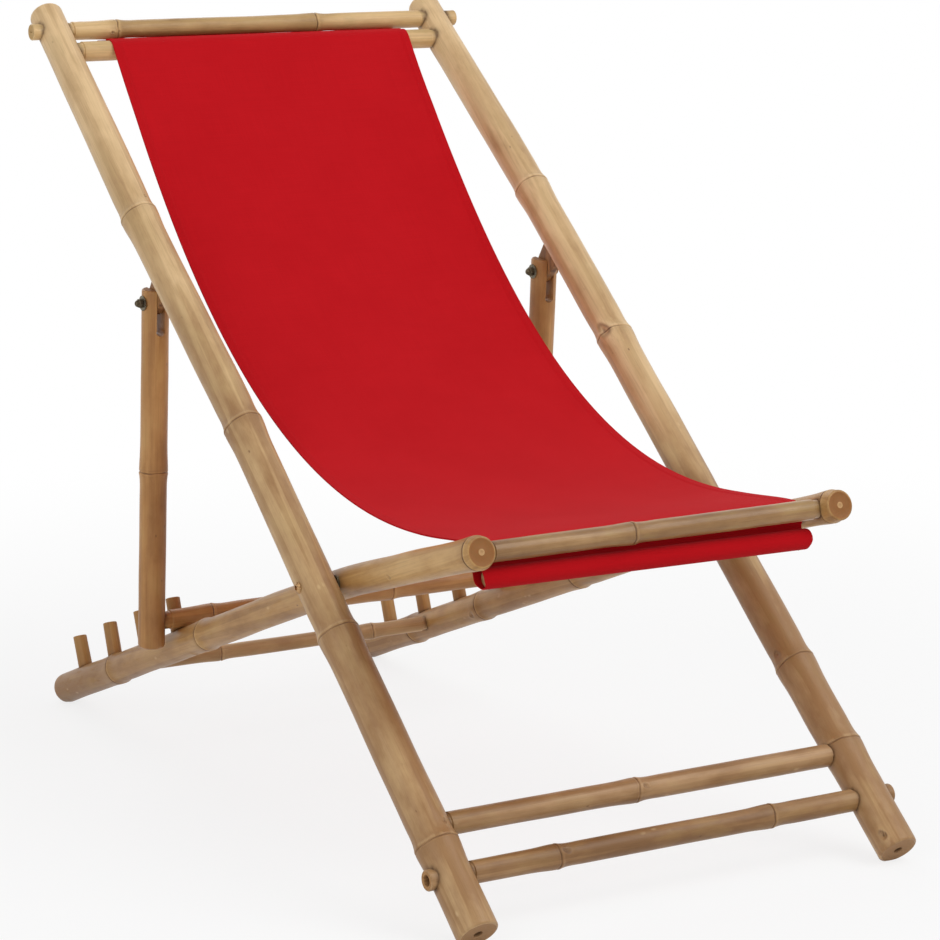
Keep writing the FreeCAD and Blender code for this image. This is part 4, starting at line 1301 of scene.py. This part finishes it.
@dataclass
class Hardware:
    """Bolts and domed nuts of the pivots and of the struts."""

    layout: Layout
    head_radius: float = 6.5 * MM
    head_height: float = 3.0 * MM
    key_radius: float = 3.0 * MM
    key_depth: float = 3.2 * MM
    nut_corner: float = 10.0 / math.sqrt(3) * MM
    nut_height: float = 5.0 * MM
    dome_radius: float = 4.4 * MM
    shank_radius: float = 2.9 * MM
    pivot_gap: float = 1.1 * MM
    dark_nodes: tuple[str, ...] = ("pivot_spacers", "strut_rail_nails", "cross_rail_nails")
    grey_nodes: tuple[str, ...] = ("pivot_nut_washers", "strut_nut_washers")

    def build(self) -> None:
        """Makes the bolts and nuts, and gives the small plain pieces their finish."""
        self._set("pivot", self.layout.pivot, {"left": 1.0, "right": -1.0})
        self._set("strut", self.layout.lug_axis, {"left": 1.0, "right": 1.0})
        for nodes, finish in ((self.dark_nodes, FINISHES.nut), (self.grey_nodes, FINISHES.zinc)):
            for node in nodes:
                carried = frame["nodes"][node]
                carried.data.materials.clear()
                carried.data.materials.append(FINISHES.of(finish))

    def _set(self, place: str, axis: Vector, heads: dict[str, float]) -> None:
        """Makes the two bolts and two nuts on one axis.

        Args:
            place: First word of the nodes' names.
            axis: A point on the axis.
            heads: Direction along X that the bolt's head faces, for each side.
        """
        bolts, nuts = [], []
        bolt_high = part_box(f"{place}_bolts")[1][0]
        nut_low, nut_high = (corner[0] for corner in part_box(f"{place}_nuts"))
        for name, side in SIDES.items():
            head = heads[name]
            if place == "pivot":
                tip, nut_tip = side * bolt_high, side * (2 * self._inner_edge() - nut_high)
            else:
                shift = 2 * self.layout.back_x
                tip, nut_tip = (bolt_high, nut_low + shift) if side > 0 else (bolt_high - shift, nut_low)
            bolts.append(self._bolt(f"{name}_{place}_bolt", Vector((tip, axis.y, axis.z)), head, nut_tip))
            nuts.append(self._nut(f"{name}_{place}_nut", Vector((nut_tip, axis.y, axis.z)), head))
        for pieces, kind, finish in ((bolts, "bolt", FINISHES.brass), (nuts, "nut", FINISHES.nut)):
            both = joined(pieces, f"{place}_{kind}_pair")
            dress(both, finish, Body.BACK, (f"{place}_{kind}s",))

    def _inner_edge(self) -> float:
        """Distance of a pivot nut's tip from the chair's middle."""
        washer = self.layout.seat_x - self.layout.seat_radius(0.0) - self.pivot_gap
        return washer - self.nut_height - self.dome_radius

    @staticmethod
    def _hexagon(centre: Vector, radius: float) -> Points:
        """Corners of a six-sided outline across X."""
        turns = [math.pi / 3 * k for k in range(6)]
        return [centre + (Y_AXIS * math.cos(a) + Z_AXIS * math.sin(a)) * radius for a in turns]

    def _bolt(self, name: str, tip: Vector, head: float, nut_tip: float) -> bpy.types.Object:
        """Makes one bolt with a domed head and a six-sided key hole."""
        height, radius, step = self.head_height, self.head_radius, 0.4 * MM
        face = tip - X_AXIS * head * height
        length = abs(face.x - nut_tip) - self.dome_radius
        profile = [(-length, self.shank_radius), (-step, self.shank_radius), (0.0, radius * 0.94)]
        for turn in map(math.radians, (0, 18, 36, 54, 72)):
            profile.append((step + height * math.sin(turn) * 0.86, radius * (0.35 + 0.65 * math.cos(turn))))
        bolt = lathe(name, profile + [(height, self.key_radius * 1.1)], face, X_AXIS * head)
        key = self._hexagon(tip + X_AXIS * head * MM, self.key_radius)
        carve(bolt, [prism("key_cutter", key, X_AXIS * -head * self.key_depth)])
        return bolt

    def _nut(self, name: str, tip: Vector, head: float) -> bpy.types.Object:
        """Makes one domed nut, its dome pointing away from the bolt's head."""
        base = tip + X_AXIS * head * (self.nut_height + self.dome_radius)
        body = prism(name, self._hexagon(base, self.nut_corner), X_AXIS * -head * self.nut_height)
        soften(body, 0.5 * MM)
        dome = [(self.nut_height - 0.6 * MM, self.dome_radius)]
        dome += [(self.nut_height + self.dome_radius * math.sin(t), self.dome_radius * math.cos(t))
                 for t in map(math.radians, (0, 15, 30, 45, 60, 75, 87))]
        return joined([body, lathe(f"{name}_dome", dome, base, X_AXIS * -head, 32)], name)


@dataclass
class Sling:
    """Canvas sheet with two dowel hems, hung over one rail at each end."""

    layout: Layout
    thickness: float = 1.2 * MM
    gap: float = 0.35 * MM
    dowel_radius: float = 10.0 * MM
    dowel_inset: float = 8.0 * MM
    columns: int = 132
    spacing: float = 4.0 * MM
    side_hem: float = 11.0 * MM
    overlap: float = 17.0 * MM
    drops: tuple[tuple[float, float], ...] = ((490.8 * MM, 342.6 * MM), (190.3 * MM, -42.1 * MM),
                                              (-117.3 * MM, 84.0 * MM))
    settle: float = 110.0 * MM
    hem_start: float = 62.0
    front_shade: float = 1.6
    front_shift: float = -6.5 * MM
    front_sag: float = 4.5 * MM
    corner_tuck: float = 3.5 * MM
    stitch_pitch: float = 4.6 * MM
    stitch_length: float = 3.3 * MM
    stitch_radius: float = 0.36 * MM
    stitch_count: int = 5

    def build(self) -> None:
        """Makes the sheet, its seams and its dowels."""
        self.turn = self.dowel_radius + self.gap + self.thickness / 2
        path = self._path()
        stations = np.concatenate([[0.0], np.cumsum(np.linalg.norm(np.diff(path, axis=0), axis=1))])
        self.length = float(stations[-1])
        self.stations = np.linspace(0.0, self.length, int(self.length / self.spacing) + 1)
        self.path = np.stack([np.interp(self.stations, stations, path[:, k]) for k in (0, 1)], axis=1)
        slopes = unit(np.gradient(self.path, self.stations, axis=0))
        self.normals = np.stack([-slopes[:, 1], slopes[:, 0]], axis=1)
        low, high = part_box("canvas_sling")
        self.half_width = (high[0] - low[0]) / 2
        sheet = self._sheet()
        seams = self._seams()
        self._dowels()
        for piece in (sheet, seams):
            tuple(self.layout.middle("canvas_front_rail"))
            tuple(self.layout.middle("canvas_top_rail"))
            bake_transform(piece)
        LOG.info("sheet: %.0f mm wide, %.0f mm long when flat", 2000 * self.half_width, 1000 * self.length)

    @staticmethod
    def _flat(place: Vector) -> np.ndarray:
        """A point or direction as seen along X."""
        return np.array([place.y, place.z])

    @staticmethod
    def _arc(centre: np.ndarray, radius: float, start: float, end: float,
             steps: int = 24) -> list[np.ndarray]:
        """Points of an arc in the YZ plane, with angles in radians."""
        angles = np.linspace(start, end, steps)
        return [centre + radius * np.array([math.cos(a), math.sin(a)]) for a in angles]

    @staticmethod
    def _touch(outside: np.ndarray, centre: np.ndarray, radius: float, turn: float) -> float:
        """Angle on a circle where the line from an outside point touches it."""
        away = outside - centre
        return math.atan2(away[1], away[0]) + turn * math.acos(radius / np.hypot(*away))

    @staticmethod
    def _run(path: list[np.ndarray]) -> float:
        """Length along a row of points."""
        return float(np.linalg.norm(np.diff(np.array(path), axis=0), axis=1).sum())

    def _hem(self, edge: np.ndarray, down: np.ndarray, away: np.ndarray, dowel: str) -> list[np.ndarray]:
        """Path of one hem from its stitched overlap, round the dowel, back to the rail's edge.

        Args:
            edge: Where the cloth leaves the rail.
            down: Unit vector from there towards the hem.
            away: Unit vector from the strip towards the dowel.
            dowel: Node of the dowel, which sets how far down the hem hangs.

        Returns:
            The points, ending at the edge.
        """
        drop = (self._flat(self.layout.middle(dowel)) - edge) @ down
        centre = edge + down * drop + away * self.turn
        overlap = [edge + down * (drop - self.turn * share - reach) + away * 1.35 * self.thickness
                   for share, reach in ((0.9, self.overlap), (1.25, 0.0))]
        loop = [centre - away * self.turn * math.cos(angle) - down * self.turn * math.sin(angle)
                for angle in np.linspace(math.radians(self.hem_start), math.radians(360.0), 40)]
        return overlap + loop + [edge]

    def _path(self) -> np.ndarray:
        """Centre line of the cloth in the YZ plane, from the top hem to the front hem."""
        layout = self.layout
        top, front = (self._flat(layout.middle(f"canvas_{end}_rail")) for end in ("top", "front"))
        top_turn, front_turn = (RAIL_RADII[f"canvas_{end}_rail"] + self.gap + self.thickness / 2
                                for end in ("top", "front"))
        upper, middle, lower = (self._flat(layout.pivot) + np.array(drop) for drop in self.drops)
        top_leave = self._touch(upper, top, top_turn, -1.0) % TURN
        front_reach = self._touch(lower, front, front_turn, 1.0)
        away_top, away_front = self._flat(layout.back_dir), self._flat(layout.front_dir)
        path = self._hem(top + away_top * top_turn, -self._flat(layout.back_up), away_top, "top_hem_dowel")
        path += self._arc(top, top_turn, math.radians(layout.back_angle), top_leave)[1:]
        self.near_top = self._run(path)
        poles = [path[-1], upper, middle, lower] + self._arc(front, front_turn, front_reach, front_reach, 1)
        for share in np.linspace(0.0, 1.0, 220)[1:]:
            weights = [math.comb(4, k) * share ** k * (1 - share) ** (4 - k) for k in range(5)]
            path.append(sum(w * p for w, p in zip(weights, poles)))
        free = self._run(path)
        path += self._arc(front, front_turn, front_reach, math.radians(180.0 - layout.seat_front_angle))[1:]
        path += self._hem(front + away_front * front_turn, -self._flat(layout.front_up), away_front,
                          "front_hem_dowel")[::-1][1:]
        self.near_front = self._run(path) - free
        return np.array(path)

    def _lift(self, across: np.ndarray, along: np.ndarray) -> np.ndarray:
        """How far the cloth stands off its plain path, in metres.

        Args:
            across: Place across the width, -1 to 1.
            along: Place along the cloth in metres.

        Returns:
            The lift along the path's normal.
        """
        free = self._freedom(along)
        ripples = (1.1 * np.sin(3.1 * across + 1.2 + 2.2 * along) * np.sin(5.2 * along + 0.4)
                   + 0.7 * np.sin(6.3 * across - 4.1 * along + 0.7)
                   + 0.5 * np.sin(2.0 * across + 13.0 * along))
        tucks = hill(free, 0.25, 0.22) * (0.35 * np.sin(19.0 * across + 3.0 * np.sin(5.0 * along))
                                          + 0.25 * np.sin(31.0 * across + 2.0))
        edges = 1.6 * np.abs(across) ** 6 * np.sin(9.0 * along + np.where(across > 0.0, 0.8, 2.9))
        return (ripples * 0.85 + tucks + edges) * free * MM

    def _freedom(self, along: np.ndarray) -> np.ndarray:
        """1 where the cloth hangs free, falling to 0 where it lies on a rail or round a dowel."""
        inside = np.minimum(along - self.near_top, self.length - self.near_front - along)
        return np.clip(inside / self.settle, 0.0, 1.0) ** 1.5

    def _place(self, across: np.ndarray, along: np.ndarray, off: np.ndarray | float) -> np.ndarray:
        """Point of the cloth's middle surface, or off it.

        Args:
            across: Place across the width, -1 to 1.
            along: Place along the cloth in metres.
            off: Distance from the middle surface, in metres.

        Returns:
            One row of three metres for each place.
        """
        yz, normal = (np.stack([np.interp(along, self.stations, rows[:, k]) for k in (0, 1)], axis=-1)
                      for rows in (self.path, self.normals))
        yz = yz + unit(normal) * (self._lift(across, along) + off)[..., None]
        narrowing = 1.0 - 0.008 * np.sin(np.clip(along / self.length, 0.0, 1.0) * math.pi) ** 2
        waver = 0.8 * MM * np.sin(7.0 * along + np.where(across > 0.0, 0.0, 2.0)) * np.abs(across) ** 3
        x = across * self.half_width * narrowing + waver * self._freedom(along)
        drop = (self._flat(self.layout.middle("canvas_front_rail")) - yz) @ self._flat(self.layout.front_up)
        drop = np.where(along > self.length - self.near_front, drop, 0.0)
        below = ease(drop, 3.0 * MM, 15.0 * MM)
        x += self.front_shift * below - self.corner_tuck * ease(drop, 27.0 * MM, 38.0 * MM) * across ** 9
        sunk = self.front_sag * below * (across + 1.0) / 2.0
        return np.stack([x, yz[..., 0], yz[..., 1] - sunk], axis=-1)

    def _sheet(self) -> bpy.types.Object:
        """Makes the cloth with a turned edge along each side."""
        edge = 1.0 - self.side_hem / self.half_width
        rim = np.linspace(edge, 1.0, 9)[1:]
        across = np.concatenate([-rim[::-1], np.linspace(-edge, edge, self.columns), rim])
        grid_u, grid_v = np.meshgrid(across, self.stations, indexing="ij")
        thick = np.where(np.abs(grid_u) > edge + 0.002, 0.5 * self.thickness, 0.0)
        thick *= self._freedom(grid_v) > 0.0
        rows, columns = grid_u.shape
        shift = rows * columns
        faces = []
        for base in (0, shift):
            for i in range(rows - 1):
                for j in range(columns - 1):
                    a, b = base + i * columns + j, base + (i + 1) * columns + j
                    faces.append((a, b, b + 1, a + 1) if base else (a, a + 1, b + 1, b))
        border = [i * columns for i in range(rows)] + [(rows - 1) * columns + j for j in range(1, columns)]
        border += [i * columns + columns - 1 for i in range(rows - 2, -1, -1)]
        border += list(range(columns - 2, 0, -1))
        faces += [(a, b, b + shift, a + shift) for a, b in zip(border, border[1:] + border[:1])]
        half = self.thickness / 2
        skins = [self._place(grid_u, grid_v, off).reshape(-1, 3)
                 for off in (half + 0.3 * thick, -half - thick)]
        sheet = mesh_object("sling_sheet", np.concatenate(skins), faces, 60.0)
        hem_and_shade = np.clip((np.abs(grid_u) - edge) / (1.0 - edge) * 8.0, 0.0, 1.0) * 0.35
        hem_and_shade = np.maximum(hem_and_shade, 0.5 * hill(np.abs(grid_u), edge, 0.8 * MM / self.half_width))
        # The front strip below the front rail gets painted shade.
        hem_and_shade = np.maximum(hem_and_shade, self.front_shade * (grid_v > self.length - self.near_front + 20.0 * MM))
        cloth = np.stack([grid_u * self.half_width, grid_v, hem_and_shade], axis=-1).reshape(-1, 3)
        store(sheet.data, "cloth", np.concatenate([cloth, cloth]))
        dress(sheet, FINISHES.canvas, None, ("canvas_sling",))
        return sheet

    def _seams(self) -> bpy.types.Object:
        """Makes the stitches of the side hems and of the two dowel hems."""
        line = 1.0 - (self.side_hem - 1.8 * MM) / self.half_width
        made = [self._stitch((side, side), (start, start + self.stitch_length))
                for start in np.arange(60.0 * MM, self.length - 60.0 * MM, self.stitch_pitch)
                for side in (-line, line)]
        wide = self.stitch_length / self.half_width
        strip = self.turn * (math.radians(360.0 - self.hem_start) + 0.5) + 3.0 * MM
        for share in (0.55, 0.8):
            row = self.overlap * (2.0 - share) + strip
            made += [self._stitch((start, start + wide), (place, place))
                     for start in np.arange(-0.985, 0.97, self.stitch_pitch / self.half_width)
                     for place in (row, self.length - row)]
        pattern, size = ring_faces(self.stitch_count, self.stitch_count), len(made[0][0])
        faces = [tuple(number * size + c for c in face) for number in range(len(made)) for face in pattern]
        corners, cloth = (np.concatenate(rows) for rows in zip(*made))
        seams = mesh_object("sling_stitches", corners, faces, 80.0)
        store(seams.data, "cloth", cloth)
        dress(seams, FINISHES.thread, None, ())
        return seams

    def _stitch(self, across: tuple[float, float],
                along: tuple[float, float]) -> tuple[np.ndarray, np.ndarray]:
        """One stitch: a short thread that dips into the cloth at both ends.

        Args:
            across: Where it starts and ends across the width.
            along: Where it starts and ends along the cloth.

        Returns:
            Its corners, and the place on the cloth for each of them.
        """
        count = self.stitch_count
        shares = np.linspace(0.0, 1.0, count)
        u, v = (start + (end - start) * shares for start, end in (across, along))
        arch = np.sin(shares * math.pi)
        lift = self.thickness / 2 + 0.32 * MM * arch + 0.1 * MM
        middle = self._place(u, v, lift)
        out = unit(self._place(u, v, lift + 1.0 * MM) - middle)
        side = np.cross(unit(np.gradient(middle, axis=0)), out)
        thin = self.stitch_radius * (0.45 + 0.55 * arch)[:, None]
        rings = [middle + (out * math.sin(turn) + side * math.cos(turn)) * thin
                 for turn in (TURN * k / count for k in range(count))]
        tube = np.concatenate([np.stack(rings, axis=1).reshape(-1, 3), middle[:1], middle[-1:]])
        place = np.stack([np.repeat(u * self.half_width, count), np.repeat(v, count),
                          np.zeros(count * count)], axis=1)
        return tube, np.concatenate([place, place[:2]])

    def _dowels(self) -> None:
        """Makes the turned dowel inside each hem, set back from the cloth's edges."""
        half, radius = self.half_width - self.dowel_inset, self.dowel_radius - 0.1 * MM
        ease_in = [(0.0, radius * 0.4), (0.05 * MM, radius - 1.5 * MM), (0.4 * MM, radius - 0.5 * MM),
                   (1.4 * MM, radius)]
        profile = ease_in + [(half, radius)] + [(2 * half - d, r) for d, r in reversed(ease_in)]
        for name, body, shift, sag in (("top_hem_dowel", Body.BACK, 0.0, 0.0),
                                       ("front_hem_dowel", Body.SEAT, self.front_shift, self.front_sag)):
            start = self.layout.middle(name) + X_AXIS * (shift - half)
            dowel = lathe(f"{name}_turned", profile, start, X_AXIS * 2 * half - Z_AXIS * sag, 36)
            dress(dowel, FINISHES.dowel, body, (name,))


@dataclass(frozen=True)
class Lamp:
    """Soft square lamp: its place, the length of its sides and its power in watts."""

    name: str
    place: Triple
    size: float
    power: float


@dataclass
class Studio:
    """Plain white room: floor, lamps and the camera of the reference view."""

    layout: Layout
    camera_from_pivot: Triple = (-1.8868, -3.0479, 0.7927)
    yaw: float = -30.74
    pitch: float = -10.92
    roll: float = -0.22
    focal_pixels: float = 3236.4
    picture_width: float = 940.0
    sensor: float = 36.0
    view_end: float = 60.0
    floor_half: float = 14.0
    floor_colour: tuple[float, ...] = (0.86, 0.86, 0.86, 1.0)
    floor_glow: float = 0.8
    shadow_reach: tuple[float, float] = (0.7, 2.2)
    white: tuple[float, ...] = (1.0, 1.0, 1.0, 1.0)
    sky: tuple[float, ...] = (0.98, 0.99, 1.0, 1.0)
    sky_strength: float = 0.52
    lamp_aim: Triple = (0.0, 0.0, 0.42)
    lamps: tuple[Lamp, ...] = (Lamp("key_lamp", (1.9, -2.6, 3.4), 3.0, 80.0),
                               Lamp("fill_lamp", (-3.2, -1.4, 1.9), 2.6, 26.0),
                               Lamp("back_lamp", (0.4, 3.2, 2.6), 2.4, 22.0))

    def build(self) -> None:
        """Makes the floor, the lamps, the world and the camera."""
        self._floor()
        self._world()
        for lamp in self.lamps:
            self._lamp(lamp)
        self._camera()
        bpy.context.scene.view_settings.view_transform = "Standard"

    def _floor(self) -> None:
        """Makes the white floor, which keeps the chair's shadow and fades into the surround."""
        half = self.floor_half
        corners = np.array([(-half, -half, 0.0), (half, -half, 0.0), (half, half, 0.0), (-half, half, 0.0)])
        floor = mesh_object("studio_floor", corners, [(0, 1, 2, 3)])
        material = bpy.data.materials.new("white_floor")
        tree = NodeTree(material)
        matt = tree.node("ShaderNodeBsdfDiffuse", {}, {"Color": self.floor_colour})
        glow = tree.node("ShaderNodeEmission", {}, {"Color": self.white, "Strength": 1.0})
        length = tree.node("ShaderNodeVectorMath", {"operation": "LENGTH"}, {0: tree.own_place()})
        far = Wire(tree, length.outputs["Value"]).above(*self.shadow_reach)
        share = tree.seen() * (far * (1.0 - self.floor_glow) + self.floor_glow)
        tree.node("ShaderNodeOutputMaterial", {}, {"Surface": tree.blended(share, matt, glow)})
        floor.data.materials.append(material)

    def _world(self) -> None:
        """Sets an even white surround that also lights the chair a little."""
        world = bpy.data.worlds.new("studio_world")
        bpy.context.scene.world = world
        tree = NodeTree(world)
        soft, white = (tree.node("ShaderNodeBackground", {}, {"Color": colour, "Strength": strength})
                       for colour, strength in ((self.sky, self.sky_strength), (self.white, 1.0)))
        tree.node("ShaderNodeOutputWorld", {}, {"Surface": tree.blended(tree.seen(), soft, white)})

    def _lamp(self, lamp: Lamp) -> None:
        """Makes one lamp that faces the chair."""
        light = bpy.data.lights.new(lamp.name, "AREA")
        light.size = lamp.size
        light.energy = lamp.power
        shown = placed(lamp.name, light)
        shown.location = lamp.place
        aim = Vector(self.lamp_aim) - Vector(lamp.place)
        shown.rotation_euler = aim.to_track_quat("-Z", "Y").to_euler()
        shown.visible_camera = False

    def _camera(self) -> None:
        """Makes the camera at the reference view."""
        camera = bpy.data.cameras.new("view_camera")
        camera.sensor_width = self.sensor
        camera.lens = self.sensor * self.focal_pixels / self.picture_width
        camera.clip_end = self.view_end
        shown = placed("view_camera", camera)
        turned = Matrix.Identity(4)
        for angle, axis in ((self.yaw, "Z"), (90.0 + self.pitch, "X"), (self.roll, "Z")):
            turned = turned @ Matrix.Rotation(math.radians(angle), 4, axis)
        shown.matrix_world = Matrix.Translation(self.layout.pivot + Vector(self.camera_from_pivot)) @ turned
        bpy.context.scene.camera = shown


def main() -> None:
    """Dresses the chair."""
    logging.basicConfig(level=logging.INFO, format="%(name)s: %(message)s")
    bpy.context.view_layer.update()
    layout = Layout()
    Studio(layout).build()
    BackFrame(layout).build()
    SeatFrame(layout).build()
    PropFrame(layout).build()
    Hardware(layout).build()
    Sling(layout).build()


if __name__ == "__main__":
    main()
